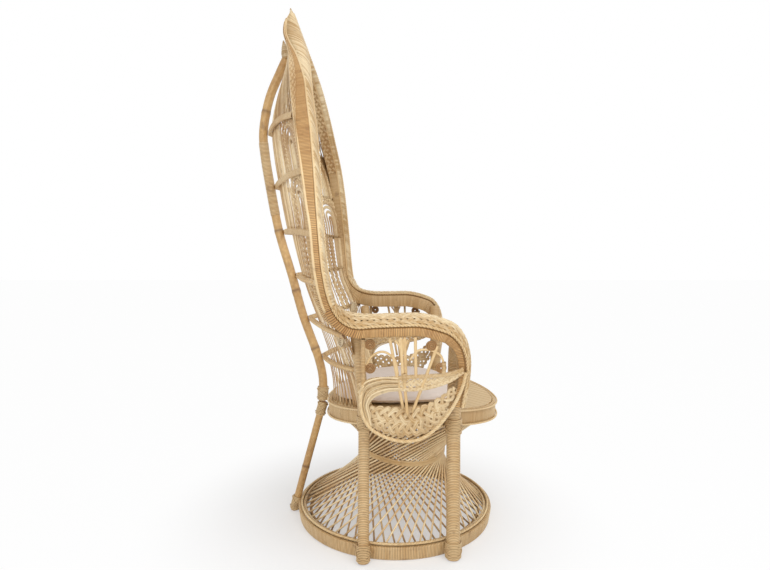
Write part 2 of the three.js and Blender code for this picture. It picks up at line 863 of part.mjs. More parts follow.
function buildBack() {
  const turns = [-1, ...rowTurns.map((turn) => -turn).reverse(), 0, ...rowTurns, 1];
  ribShares.forEach((shares, i) => {
    const stations = backStations(turns, (turn) => ribHeight(shares, turn), rib.thickness / 2 + touch);
    const section = rectangle(-rib.height / 2, rib.height / 2, -rib.thickness / 2, rib.thickness / 2);
    add(`back_rib_${i + 1}`, sweep(stations, section), finish.cane);
  });
  addPair('back_panel', join(panelPieces()), finish.weave);
}

// The woven back's upright strands and the rows that hold them, inside the ribs.
function panelPieces() {
  const depth = rib.thickness + panel.slack + panel.rowThickness / 2;
  const top = panelTopShare * back.height;
  const pieces = [];
  for (const turn of strandShares) {
    const stand = backPoint(turn, seat.height, depth);
    const foot = seatTopAt(stand.x, stand.y) + panel.footClearance;
    const heights = [foot, ...ribShares.map((shares) => ribHeight(shares, turn)), top];
    const line = heights.map((height) => backPoint(turn, height, depth));
    pieces.push(pole(line, panel.strandRadius, screen.caneSides));
  }
  const half = panel.rowThickness / 2;
  const section = rectangle(-panel.rowHeight / 2, panel.rowHeight / 2, -half, half);
  for (const shares of ribShares.filter((_, i) => i % 2 === 1)) {
    pieces.push(sweep(backStations(rowTurns, (turn) => ribHeight(shares, turn), depth), section));
  }
  return pieces;
}

// Rim: one crown line from the tip, down the back, along the arm and down its front

const rimPoints = [
  vec(rimSection.tipWidth, back.rake, back.height),
  ...backRimShares.map(([w, d, h]) => vec(w * back.halfWidth, d * back.rake, h * back.height)),
  ...armRimShares.map(([w, d, h]) => vec(w * arm.halfWidth, -d * arm.reach, h * arm.height)),
];
const rimCurve = new THREE.CatmullRomCurve3(rimPoints, false, 'centripetal');
const cornerIndex = backRimShares.length;
const frontIndex = cornerIndex + armRimShares.length;

// The rim's section sizes at a place given as an index along the rim's points.
function sectionAt(index) {
  const sizes = { ...rimSection.tip };
  for (const [name, from, to] of sectionSpans) {
    const share = smooth(from, to, index);
    for (const key of Object.keys(sizes)) sizes[key] = mix(sizes[key], rimSection[name][key], share);
  }
  sizes.inner = Math.min(sizes.inner, rimPlace(index).x - touch / 2);
  return sizes;
}

function rimPlace(index) {
  return rimCurve.getPoint(index / (rimPoints.length - 1));
}

const weaveShares = [0, 0.25, 0.5, 0.75, 1];

// Rises from 0 to 1 halfway and falls back to 0.
function arch(share) {
  return 4 * share * (1 - share);
}

function weaveSection(sizes) {
  const top = weaveShares.map((share) => [
    mix(-sizes.inner, sizes.outer, share),
    mix(sizes.innerDrop, sizes.outerDrop, share) - sizes.rise * arch(share),
  ]);
  const middle = (sizes.outer - sizes.inner) / 2;
  const edges = [
    sizes.outer,
    Math.max(sizes.outer - rimSection.bandThickness, middle + touch),
    Math.min(rimSection.bandThickness - sizes.inner, middle - touch),
  ];
  const under = [...edges, -sizes.inner].map((side) => [side, undersideAt(sizes, side)]);
  return [...top, ...under];
}

// Depth of the weave's underside at a side place.
function undersideAt(sizes, side) {
  const share = (side + sizes.inner) / (sizes.inner + sizes.outer);
  return mix(sizes.innerDrop, sizes.outerDrop, share) + sizes.weave;
}

// Places along the rim: where each band starts, the seam between back and arm, and how far
// apart two places lie that give a direction.
const rimIndex = { outerStart: 1, innerStart: 2, seam: 0.002, nudge: 0.05 };

// Stations along the rim take their direction from the crown line itself, so that two
// parts that meet at a place end in the same plane there.
function rimPart(from, to, steps, sectionOf) {
  const indices = Array.from({ length: steps + 1 }, (_, i) => mix(from, to, i / steps));
  const stations = indices.map((index) => {
    const before = rimPlace(Math.max(index - rimIndex.nudge, 0));
    const after = rimPlace(Math.min(index + rimIndex.nudge, frontIndex));
    const ahead = after.sub(before).normalize();
    const side = sideways.clone().addScaledVector(ahead, -sideways.dot(ahead)).normalize();
    return { at: rimPlace(index), ahead, side, deep: side.clone().cross(ahead) };
  });
  return sweep(stations, (i) => sectionOf(sectionAt(indices[i])));
}

// A wrapped band below the weave, between two side places.
function bandSection(sizes, from, to, depth) {
  const under = (side) => undersideAt(sizes, side) + rimSection.clearance;
  return [[from, under(from)], [to, under(to)], [to, under(to) + depth], [from, under(to) + depth]];
}

function outerBand(sizes) {
  return bandSection(sizes, sizes.outer - rimSection.bandThickness, sizes.outer, sizes.outerDepth);
}

function innerBand(sizes) {
  return bandSection(sizes, -sizes.inner, rimSection.bandThickness - sizes.inner, sizes.innerDepth);
}

function buildRim() {
  const { outerStart, innerStart } = rimIndex;
  const armStart = cornerIndex + rimIndex.seam;
  addPair('rim_braid', rimPart(0, cornerIndex, 22, weaveSection), finish.weave);
  addPair('rim_outer_band', rimPart(outerStart, cornerIndex, 20, outerBand), finish.cane);
  addPair('rim_inner_band', rimPart(innerStart, cornerIndex, 18, innerBand), finish.cane);
  addPair('armrest', rimPart(armStart, frontIndex, 18, weaveSection), finish.weave);
  addPair('arm_outer_band', rimPart(armStart, frontIndex, 18, outerBand), finish.cane);
  addPair('arm_inner_band', rimPart(armStart, frontIndex, 18, innerBand), finish.cane);
}

// Side screens of the arms

// The screen's top lies in the middle of the arm's outer band and level with its underside.
const screenTop = {
  width: arm.halfWidth + rimSection.arm.outer - rimSection.bandThickness / 2,
  height: arm.height - undersideAt(rimSection.arm, rimSection.arm.outer) - rimSection.clearance
    - rimSection.arm.outerDepth,
};

function screenPoint([forward, height], inset = 0) {
  const z = height * screenTop.height;
  const share = (z - screen.footHeight) / (screenTop.height - screen.footHeight);
  return vec(mix(screen.footWidth, screenTop.width, share) - inset, -forward * arm.reach, z);
}

const lean = Math.atan2(screenTop.width - screen.footWidth, screenTop.height - screen.footHeight);
const screenNormal = vec(Math.cos(lean), 0, -Math.sin(lean));

function screenFacing() {
  return screenNormal;
}

function disc(place) {
  const centre = screenPoint(place);
  const half = screen.discThickness / 2;
  const ends = [-half, half].map((offset) => centre.clone().addScaledVector(screenNormal, offset));
  return rod(ends, screen.discRadius, screen.discSides);
}

function buildScreens() {
  const width = screen.archWidth / 2;
  const thick = screen.archThickness / 2;
  const pieces = archShares.map((places) => {
    const line = along(places.map((place) => screenPoint(place)), 9);
    return sweep(stationsOf(line, false, screenFacing), rectangle(-thick, thick, -width, width));
  });
  for (const place of discShares) pieces.push(disc(place));
  for (const ends of [...spokeShares, ...stileShares]) {
    pieces.push(rod(ends.map((place) => screenPoint(place)), screen.caneRadius, screen.caneSides));
  }
  for (const places of arcShares) {
    const line = along(places.map((place) => screenPoint(place)), 6);
    pieces.push(rod(line, screen.arcRadius, screen.caneSides));
  }
  addPair('arm_screen', join(pieces), finish.cane);

  const outset = screen.archThickness / 2 + screen.loopRadius + touch;
  const loop = along(loopShares.map((place) => screenPoint(place, -outset)), 18);
  addPair('arm_loop', rod(loop, screen.loopRadius, screen.loopSides), finish.pole);
  addPair('arm_lattice', buildLattice(), finish.weave);
}

// Two rows of wide wavy strands that cross, behind the screen's lower half
function buildLattice() {
  const inset = screen.caneRadius + screen.latticeThickness / 2 + touch;
  const steps = 17;
  const half = screen.latticeWidth / 2;
  const thick = screen.latticeThickness / 2;
  const rows = [-1, 1].map((sign) => {
    const points = Array.from({ length: steps + 1 }, (_, i) => {
      const share = i / steps;
      const swing = sign * screen.latticeSwing * Math.cos(share * latticeShares.waves * 2 * Math.PI);
      const forward = mix(latticeShares.rear, latticeShares.front, share);
      const height = mix(latticeShares.rearHeight, latticeShares.frontHeight, share);
      return screenPoint([forward, height + swing / screenTop.height], inset);
    });
    return sweep(stationsOf(points, false, screenFacing), rectangle(-thick, thick, -half, half));
  });
  return join(rows);
}

buildBase();
buildHourglass();
buildSeat();
buildLegs();
buildSpine();
buildBack();
buildRim();
buildScreens();

// The middle of the chair's depth stands over the origin.
const rearmost = Math.max(...spineLine.map((p) => p.y)) + spine.radius;
const foremost = seat.forward + seat.halfDepth + 2 * seat.beadRadius + touch;
chair.position.y = (foremost - rearmost) / 2;

export default chair;
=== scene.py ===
"""Peacock chair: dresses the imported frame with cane, reed and cloth.

Every strand is swept along its own run, with the run's length in the piece's UV map, so that
wraps, fibres and shading follow the cane. Sizes are in metres and match the CAD model.
"""

import logging
from collections.abc import Callable, Sequence
from dataclasses import dataclass, field, replace
from enum import Enum
from math import acos, atan2, cos, floor, hypot, pi, radians, sin, sqrt

import bpy
import numpy as np
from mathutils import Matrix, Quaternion, Vector


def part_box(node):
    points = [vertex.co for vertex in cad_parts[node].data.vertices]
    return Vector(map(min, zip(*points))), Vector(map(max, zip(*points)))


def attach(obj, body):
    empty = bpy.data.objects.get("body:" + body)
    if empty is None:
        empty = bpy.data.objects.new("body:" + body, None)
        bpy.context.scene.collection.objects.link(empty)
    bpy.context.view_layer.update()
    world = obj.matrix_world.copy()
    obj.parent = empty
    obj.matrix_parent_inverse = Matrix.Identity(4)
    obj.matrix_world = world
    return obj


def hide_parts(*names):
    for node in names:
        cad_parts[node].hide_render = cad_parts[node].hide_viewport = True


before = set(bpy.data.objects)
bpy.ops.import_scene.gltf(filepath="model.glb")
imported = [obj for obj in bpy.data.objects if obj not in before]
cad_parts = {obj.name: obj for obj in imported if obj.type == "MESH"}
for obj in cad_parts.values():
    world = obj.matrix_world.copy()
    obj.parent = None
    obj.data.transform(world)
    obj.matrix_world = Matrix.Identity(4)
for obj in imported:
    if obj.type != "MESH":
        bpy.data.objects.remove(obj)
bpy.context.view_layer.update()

Array = np.ndarray
Thing = bpy.types.Object
Material = bpy.types.Material
Socket = bpy.types.NodeSocket
Places = Sequence[Sequence[float]]
Pair = tuple[float, float]
Pairs = tuple[Pair, ...]
Triples = tuple[tuple[float, float, float], ...]
Lines = tuple[Pairs, ...]

LOG = logging.getLogger("peacock_chair")
TOUCH = 0.0003
RIDGE = 0.0007
UP = np.array([0.0, 0.0, 1.0])
SIDEWAYS = np.array([1.0, 0.0, 0.0])
RUN_MAP = "run"


class Side(Enum):
    """The sitter's two sides."""

    LEFT = "left"
    RIGHT = "right"


SIGNS = {Side.LEFT: 1.0, Side.RIGHT: -1.0}


class Slot(Enum):
    """The record's material slots."""

    WRAPPED = "wrapped_cane"
    POLE = "bare_pole"
    WOVEN = "woven_rattan"
    CLOTH = "pad_cloth"


def row_shift() -> float:
    """Returns how far the base's centre lies from the row frame's origin along Y."""
    low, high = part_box("base_ring")
    return (low[1] + high[1]) / 2


SHIFT = row_shift()


# Curves and frames


def spots_of(mesh: bpy.types.Mesh) -> Array:
    """Returns the places of a mesh's corners."""
    spots = np.zeros(len(mesh.vertices) * 3)
    mesh.vertices.foreach_get("co", spots)
    return spots.reshape(-1, 3)


def move(mesh: bpy.types.Mesh, spots: Array) -> None:
    """Puts a mesh's corners at new places."""
    mesh.vertices.foreach_set("co", spots.ravel())
    mesh.update()


def mix(low: float, high: float, share: float) -> float:
    """Returns the value at a share of the way from low to high."""
    return low + (high - low) * share


def smooth(start: float, end: float, value: float) -> float:
    """Returns 0 before start, 1 after end and an even ease between them."""
    share = min(max((value - start) / (end - start), 0.0), 1.0)
    return share * share * (3 - 2 * share)


def unit(vectors: Array) -> Array:
    """Returns the vectors at length one."""
    return vectors / np.maximum(np.linalg.norm(vectors, axis=-1, keepdims=True), 1e-9)


class Curve:
    """A smooth centripetal curve through given places."""

    def __init__(self, places: Places) -> None:
        """Takes the places that the curve passes through, in order."""
        self.places = np.array(places, dtype=float)

    def at(self, index: float) -> Array:
        """Returns the point at an index along the places, which may lie between two."""
        count = len(self.places)
        start = min(floor(index), count - 2)
        share = index - start
        p1, p2 = self.places[start], self.places[start + 1]
        p0 = self.places[start - 1] if start > 0 else 2 * p1 - p2
        p3 = self.places[start + 2] if start + 2 < count else 2 * p2 - p1
        steps = ((p0, p1), (p1, p2), (p2, p3))
        gaps = [sqrt(max(np.linalg.norm(b - a), 1e-9)) for a, b in steps]
        leave = (p1 - p0) / gaps[0] - (p2 - p0) / (gaps[0] + gaps[1]) + (p2 - p1) / gaps[1]
        reach = (p2 - p1) / gaps[1] - (p3 - p1) / (gaps[1] + gaps[2]) + (p3 - p2) / gaps[2]
        leave, reach = leave * gaps[1], reach * gaps[1]
        bend = -3 * p1 + 3 * p2 - 2 * leave - reach
        turn = 2 * p1 - 2 * p2 + leave + reach
        return p1 + share * (leave + share * (bend + share * turn))

    def spread(self, count: int) -> Array:
        """Returns count points spread evenly over the index."""
        return np.array([self.at(i) for i in np.linspace(0, len(self.places) - 1, count)])


def run_of(points: Array) -> Array:
    """Returns the length run up to each point."""
    steps = np.linalg.norm(np.diff(points, axis=0), axis=1)
    return np.concatenate([[0.0], np.cumsum(steps)])


def at_run(run: Array, values: Array, wanted: Array) -> Array:
    """Returns values, given at some runs, at the wanted runs instead."""
    flat = values.reshape(len(run), -1)
    columns = [np.interp(wanted, run, flat[:, k]) for k in range(flat.shape[1])]
    return np.stack(columns, axis=1).reshape((len(wanted),) + values.shape[1:])


def evenly(points: Array, step: float) -> Array:
    """Returns the same line with a point every step or so."""
    run = run_of(points)
    count = max(int(round(run[-1] / step)), 1) + 1
    return at_run(run, points, np.linspace(0, run[-1], count))


def at_height(line: Array, height: float) -> Array:
    """Returns the point at a height on a line that climbs."""
    return np.array([np.interp(height, line[:, 2], line[:, axis]) for axis in range(3)])


def heading(points: Array, closed: bool = False) -> Array:
    """Returns the direction along a line at each of its points."""
    if closed:
        return unit(np.roll(points, -1, axis=0) - np.roll(points, 1, axis=0))
    return unit(np.gradient(points, axis=0))


def facing(points: Array, hint: Array, closed: bool = False) -> Array:
    """Returns a side direction at each point that follows the hint and crosses the line squarely."""
    ahead = heading(points, closed)
    hints = np.broadcast_to(hint, points.shape)
    return unit(hints - ahead * np.sum(hints * ahead, axis=1, keepdims=True))


def carried(points: Array) -> Array:
    """Returns side directions that turn no more than the line does."""
    ahead = heading(points)
    start = UP if abs(ahead[0][2]) < 0.7 else SIDEWAYS
    sides = [start - ahead[0] * ahead[0].dot(start)]
    for direction in ahead[1:]:
        sides.append(sides[-1] - direction * direction.dot(sides[-1]))
        sides[-1] = sides[-1] / np.linalg.norm(sides[-1])
    return unit(np.array(sides))


# Sections


def circle(radius: float, sides: int) -> Array:
    """Returns the section of a round strand."""
    turn = np.arange(sides) / sides * 2 * pi
    return np.stack([radius * np.cos(turn), radius * np.sin(turn)], axis=1)


def strip(width: float, thickness: float) -> Array:
    """Returns the section of a flat strand with rounded edges, wide along its deep direction."""
    turn = np.arange(8) / 8 * 2 * pi + pi / 8
    swell = 1 / np.cos(pi / 8)
    return np.stack([thickness / 2 * swell * np.cos(turn), width / 2 * swell * np.sin(turn)], axis=1)


def rounded(corners: Places, radius: float) -> Array:
    """Returns a section with each corner cut round from a radius before it to one after it."""
    points = np.array(corners, dtype=float)
    result = []
    for k, corner in enumerate(points):
        before = points[k - 1] - corner
        after = points[(k + 1) % len(points)] - corner
        start = corner + before / np.linalg.norm(before) * radius
        end = corner + after / np.linalg.norm(after) * radius
        result += [start, (start + end) / 4 + corner / 2, end]
    return np.array(result)


def band_section(half: float, wall: float, radius: float, tilt: float = 0.0) -> Array:
    """Returns a band's section from half its height and half its wall, its top tilted outward."""
    corners = [[-half, -wall - tilt], [half, -wall + tilt], [half, wall + tilt], [-half, wall - tilt]]
    return rounded(corners, radius)


def anticlockwise(profiles: Array) -> Array:
    """Returns sections with their corners in anticlockwise order."""
    x, y = profiles[0].T
    area = np.sum(x * np.roll(y, -1) - np.roll(x, -1) * y)
    return profiles[:, ::-1] if area < 0 else profiles


def swollen(profiles: Array, amounts: Array) -> Array:
    """Returns sections grown outward by an amount each."""
    tangent = np.roll(profiles, -1, axis=1) - np.roll(profiles, 1, axis=1)
    outward = unit(np.stack([tangent[..., 1], -tangent[..., 0]], axis=-1))
    return profiles + outward * amounts[:, None, None]


# Strands


TURN_STEPS = 8
PLY_SHARES = {2: 0.54, 3: 0.5}
LAP_SHARE = 1.04
RISE_SHARE = 0.6
PLAIN_TONE = 0.5


@dataclass(frozen=True)
class Plait:
    """How strands are plaited: a wave's length, a strand's thickness and how bundles fill the width."""

    lay: float
    thickness: float = 0.002
    split: int = 1
    cover: float = 0.42
    bundles: int = 3


class Fibres:
    """Collects strands of one finish, then makes them one piece."""

    def __init__(self, seed: int = 1) -> None:
        """Takes the seed that starts the run of strand tones."""
        self.rng = np.random.default_rng(seed)
        self.verts: list[Array] = []
        self.quads: list[Array] = []
        self.caps: list[list[int]] = []
        self.maps: list[Array] = []
        self.tones: list[Array] = []
        # darkening for the groove attribute: painted shade, and real knot lines on poles
        self.shades: list[Array] = []
        self.count = 0

    def rings(self, points: Array, side: Array, profiles: Array,
              tone: Array | float | None = None, shade: Array | float = 0.0,
              closed: bool = False) -> None:
        """Adds one swept strand.

        Args:
            points: the strand's line.
            side: the side direction at each point.
            profiles: one section, or one for each point, as side and deep offsets.
            tone: the strand's tone, for the whole or for each point; drawn if left out.
            shade: how far each point is darkened, from 0 to 1: painted shade in grooves, gaps and cores,
                and on poles their real dark knot lines.
            closed: whether the strand's end meets its start.
        """
        stations = len(points)
        profiles = anticlockwise(np.broadcast_to(profiles, (stations,) + profiles.shape[-2:]))
        deep = np.cross(side, heading(points, closed))
        rings = points[:, None] + side[:, None] * profiles[..., :1] + deep[:, None] * profiles[..., 1:]
        sides = profiles.shape[1]
        near = np.arange(stations if closed else stations - 1)
        far = (near + 1) % stations
        k = np.arange(sides)
        after = (k + 1) % sides
        corners = ((near, k), (far, k), (far, after), (near, after))
        quads = [ring[:, None] * sides + place[None] + self.count for ring, place in corners]
        run = run_of(np.vstack([points, points[:1]]) if closed else points)
        u_near = np.broadcast_to(run[near][:, None], (len(near), sides))
        u_far = np.broadcast_to(run[near + 1][:, None], (len(near), sides))
        v_near = np.broadcast_to(k[None] / sides, (len(near), sides))
        v_far = v_near + 1 / sides
        maps = [(u_near, v_near), (u_far, v_near), (u_far, v_far), (u_near, v_far)]
        self.quads.append(np.stack(quads, axis=-1).reshape(-1, 4))
        self.maps.append(np.stack([np.stack(pair, axis=-1) for pair in maps], axis=2).reshape(-1, 2))
        if not closed:
            end = self.count + (stations - 1) * sides
            self.caps.append([self.count + i for i in range(sides)])
            self.caps.append([end + i for i in reversed(range(sides))])
        tone = self.rng.random() if tone is None else tone
        self.tones.append(np.repeat(np.broadcast_to(tone, (stations,)), sides))
        self.shades.append(np.repeat(np.broadcast_to(shade, (stations,)), sides))
        self.verts.append(rings.reshape(-1, 3))
        self.count += stations * sides

    def rod(self, points: Array, radius: float, sides: int = 8, closed: bool = False,
            hint: Array | None = None) -> None:
        """Adds a round strand along a line."""
        side = carried(points) if hint is None else facing(points, hint, closed)
        self.rings(points, side, circle(radius, sides), closed=closed)

    def stand(self) -> None:
        """Flattens the last strand's foot where it would reach below the floor."""
        self.verts[-1][:, 2] = np.maximum(self.verts[-1][:, 2], 0.0)

    def wound(self, points: Array, side: Array, profiles: Array,
              pitch: float = 0.0036, ridge: float = RIDGE, closed: bool = False) -> None:
        """Adds a core wound with cane, one ridge a turn, and painted shade in the groove between turns.

        Args:
            points: the core's line.
            side: the side direction at each point.
            profiles: the core's section, or one for each point.
            pitch: the width of one turn of cane.
            ridge: how far a turn stands out between its edges.
            closed: whether the core's end meets its start.
        """
        profiles = np.broadcast_to(profiles, (len(points),) + profiles.shape[-2:])
        if closed:
            points, side, profiles = (np.concatenate([a, a[:1]]) for a in (points, side, profiles))
        run = run_of(points)
        turns = max(int(round(run[-1] / pitch)), 2)
        wanted = np.linspace(0, run[-1], turns * 3 + 1)
        if closed:
            wanted = wanted[:-1]
        phase = np.arange(len(wanted)) % 3
        bulge = np.where(phase == 0, 0.0, ridge)
        tones = np.repeat(self.rng.random(turns + 1), 3)[:len(wanted)]
        sections = anticlockwise(at_run(run, profiles, wanted))
        # Painted shade: the ring between two turns gets groove 1, which darkens it as if shaded.
        self.rings(at_run(run, points, wanted), unit(at_run(run, side, wanted)),
                   swollen(sections, bulge), tones, np.where(phase == 0, 1.0, 0.0), closed)

    def twisted(self, points: Array, radius: float, lay: float = 0.02, plies: int = 2,
                closed: bool = False) -> None:
        """Adds strands twisted round one another along a line.

        Args:
            points: the line that the twist follows.
            radius: the twist's outer radius.
            lay: the length of one whole turn.
            plies: how many strands there are.
            closed: whether the twist's end meets its start.
        """
        if closed:
            points = np.concatenate([points, points[:1]])
        length = run_of(points)[-1]
        turns = max(round(length / lay), 1)
        line = evenly(points, length / (turns * TURN_STEPS))
        side = facing(line, UP) if closed else carried(line)
        deep = np.cross(side, heading(line))
        angle = np.linspace(0, turns * 2 * pi, len(line))
        ply = radius * PLY_SHARES[plies]
        for k in range(plies):
            turn = (angle + k * 2 * pi / plies)[:, None]
            path = line + (side * np.cos(turn) + deep * np.sin(turn)) * (radius - ply)
            path = path[:-1] if closed else path
            self.rings(path, side[:len(path)], circle(ply, 6), closed=closed)

    def plaited(self, points: Array, lift: Array, width: Array | float, plait: Plait) -> None:
        """Adds flat strands plaited along a line.

        Args:
            points: the line that the plait follows.
            lift: the direction in which its face looks, for the whole or for each point.
            width: its whole width, for the whole or for each point.
            plait: how the strands are plaited.
        """
        run, thickness, split = run_of(points), plait.thickness, plait.split
        waves = max(round(run[-1] / plait.lay), 1)
        wanted = np.linspace(0, run[-1], waves * TURN_STEPS + 1)
        line = at_run(run, points, wanted)
        face = facing(line, at_run(run, np.broadcast_to(lift, points.shape).copy(), wanted))
        across = np.cross(face, heading(line))
        wide = at_run(run, np.broadcast_to(width, (len(points),)).copy(), wanted)[:, None]
        bundle = wide * plait.cover
        flat = bundle / split
        sections = strip(1.0, thickness)[None] * np.stack([np.ones_like(flat), flat * LAP_SHARE], axis=-1)
        for k in range(plait.bundles):
            start = k * 2 * pi / plait.bundles
            phase = (np.linspace(0, waves * 2 * pi, len(line)) + start)[:, None]
            middle = line + face * np.sin(2 * phase) * thickness * RISE_SHARE
            for strand in range(split):
                beside = np.sin(phase) * (wide - bundle) / 2 + flat * (strand - (split - 1) / 2)
                path = middle + across * beside
                self.rings(path, facing(path, face), sections)

    def piece(self, name: str, finish: "Finish", nodes: Sequence[str] = (),
              flip: bool = False) -> Thing:
        """Makes the strands one mesh piece that rides on the chair, and returns it.

        Args:
            name: the piece's name.
            finish: the finish that the strands take.
            nodes: the CAD nodes that the piece stands for.
            flip: whether the piece is made for the sitter's other side.
        """
        verts = np.concatenate(self.verts)
        quads = np.concatenate(self.quads)
        maps = np.concatenate(self.maps)
        caps = self.caps
        if flip:
            verts = verts * np.array([-1.0, 1.0, 1.0])
            quads = quads[:, ::-1]
            maps = maps.reshape(-1, 4, 2)[:, ::-1].reshape(-1, 2)
            caps = [cap[::-1] for cap in caps]
        mesh = bpy.data.meshes.new(name)
        mesh.from_pydata(verts.tolist(), [], quads.tolist() + caps)
        self.mark(mesh, maps)
        smoothness = np.ones(len(mesh.polygons), dtype=bool)
        smoothness[len(quads):] = False
        mesh.polygons.foreach_set("use_smooth", smoothness)
        piece = bpy.data.objects.new(name, mesh)
        bpy.context.scene.collection.objects.link(piece)
        piece.data.materials.append(finish.material())
        settle(piece, nodes)
        return piece

    def mark(self, mesh: bpy.types.Mesh, maps: Array) -> None:
        """Writes the run map, the tones and the groove attribute onto a mesh; the groove attribute is
        painted shade, with the poles' real knot lines.
        """
        layer = mesh.uv_layers.new(name=RUN_MAP)
        corners = np.zeros((len(mesh.loops), 2))
        corners[:len(maps)] = maps
        layer.data.foreach_set("uv", corners.ravel())
        for key, values in (("tone", self.tones), ("groove", self.shades)):
            attribute = mesh.attributes.new(key, "FLOAT", "POINT")
            attribute.data.foreach_set("value", np.concatenate(values))


def settle(piece: Thing, nodes: Sequence[str] = (),
           body: str = "chair") -> None:
    """Says which body a piece rides on and which CAD nodes it stands for."""
    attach(piece, body)
    if nodes:
        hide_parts(*nodes)
    LOG.info("made %s with %d faces", piece.name, len(piece.data.polygons))


def pair(name: str, fibres: Fibres, finish: "Finish", nodes: Sequence[str] = ()) -> None:
    """Makes a piece for the sitter's left and its mirror image for the right, named without a side."""
    for side in Side:
        replaced = [f"{node}_{side.value}" for node in nodes]
        fibres.piece(f"{name}_{side.value}", finish, replaced, flip=side is Side.RIGHT)


# Pieces made of rings of cane


# How the painted shade on a ring of cane grows towards the sides that touch its neighbours.
GROOVE_SLOPE = 1.6
GROOVE_START = 0.7
BED_SHARE = 0.7
SLANT_SHARE = 0.26
SLANT_LIFT = 1.9
COIL_LAP = 0.96
COIL_EYE = 0.6


def deselect() -> None:
    """Takes every object out of the selection."""
    bpy.ops.object.select_all(action="DESELECT")


def coat(thing: Thing, material: Material) -> None:
    """Gives an object one material in place of what it had."""
    thing.data.materials.clear()
    thing.data.materials.append(material)


def turned(ahead: Array) -> Quaternion:
    """Returns the turn that lays the vertical along a direction."""
    return Vector(ahead).to_track_quat("Z", "Y")


def ring_of_cane(place: Array, turn: Quaternion, radius: float, cord: float,
                 stacked: bool = True, segments: int = 22) -> Thing:
    """Adds and returns one ring of round cane, with painted shade where it meets its neighbours.

    Args:
        place: the ring's centre.
        turn: how the ring lies.
        radius: the radius of the ring's middle line.
        cord: the cane's own radius.
        stacked: whether its neighbours lie above and below it, not inside and outside.
        segments: how many straight lengths the ring has.
    """
    deselect()
    bpy.ops.mesh.primitive_torus_add(
        major_radius=radius, minor_radius=cord, major_segments=segments, minor_segments=8,
        location=tuple(float(v) for v in place), rotation=turn.to_euler())
    ring = bpy.context.active_object
    x, y, z = spots_of(ring.data).T
    # Painted shade: the groove attribute darkens the ring's sides that face its neighbours, where shade
    # would fall.
    away = np.abs(z if stacked else np.hypot(x, y) - radius) / cord
    groove = ring.data.attributes.new("groove", "FLOAT", "POINT")
    groove.data.foreach_set("value", np.clip(away * GROOVE_SLOPE - GROOVE_START, 0.0, 1.0))
    return ring


def joined(name: str, parts: Sequence[Thing], finish: "Finish",
           nodes: Sequence[str] = ()) -> None:
    """Joins primitives into one finished piece that stands for the given CAD nodes."""
    deselect()
    for part in parts:
        part.select_set(True)
    bpy.context.view_layer.objects.active = parts[0]
    bpy.ops.object.join()
    bpy.ops.object.transform_apply(location=True, rotation=True, scale=True)
    bpy.ops.object.shade_smooth()
    whole = bpy.context.active_object
    whole.name = name
    whole.data.uv_layers[0].name = RUN_MAP
    coat(whole, finish.material())
    deselect()
    settle(whole, nodes)


def lashing(name: str, low: Array, high: Array, radius: float, nodes: Sequence[str],
            cord: float = 0.0021) -> None:
    """Makes a lashing: rings of cane side by side round a pole, crossed by two slanting ones.

    Args:
        name: the piece's name.
        low: the pole's centre at the lashing's lower end.
        high: the pole's centre at its upper end.
        radius: the pole's radius.
        nodes: the CAD nodes that the piece stands for.
        cord: the cane's radius.
    """
    ahead = high - low
    length = float(np.linalg.norm(ahead))
    turn = turned(ahead)
    rings = ring_of_cane(low + unit(ahead) * cord, turn, radius + cord * BED_SHARE, cord)
    row = rings.modifiers.new("row", "ARRAY")
    row.count = max(int(length / (2 * cord)), 2)
    row.use_relative_offset = False
    row.use_constant_offset = True
    row.constant_offset_displace = (0, 0, 2 * cord)
    bpy.ops.object.modifier_apply(modifier="row")
    parts = [rings]
    slant = atan2(length * SLANT_SHARE, radius)
    for sign in (-1, 1):
        tilt = Quaternion((1, 0, 0), slant * sign)
        ring = ring_of_cane((low + high) / 2, turn @ tilt, radius + cord * SLANT_LIFT, cord * BED_SHARE)
        ring.scale = (1, 1 / cos(slant), 1)
        parts.append(ring)
    joined(name, parts, PEELED, nodes)


def coil(place: Array, out: Array, radius: float, cord: float) -> list[Thing]:
    """Adds a flat coil of cane that looks outward, and returns its rings."""
    rings = []
    reach = radius - cord
    while reach > 0:
        dome = out * cord * (1 - (reach / radius) ** 2)
        size = max(reach, cord * COIL_EYE)
        rings.append(ring_of_cane(place + dome, turned(out), size, cord, stacked=False))
        reach -= 2 * cord * COIL_LAP
    return rings


# Finishes


def colour(red: int, green: int, blue: int) -> tuple[float, float, float, float]:
    """Returns a colour given in bytes from 0 to 255 as Blender's linear one."""
    shares = [value / 255 for value in (red, green, blue)]
    linear = [s / 12.92 if s <= 0.04045 else ((s + 0.055) / 1.055) ** 2.4 for s in shares]
    return (*linear, 1.0)


def new_material(name: str, roughness: float = 0.5) -> "tuple[Material, Nodes, bpy.types.Node]":
    """Returns a new material with its nodes and its main shader."""
    material = bpy.data.materials.new(name)
    material.use_nodes = True
    shader = material.node_tree.nodes["Principled BSDF"]
    shader.inputs["Roughness"].default_value = roughness
    return material, Nodes(material.node_tree), shader


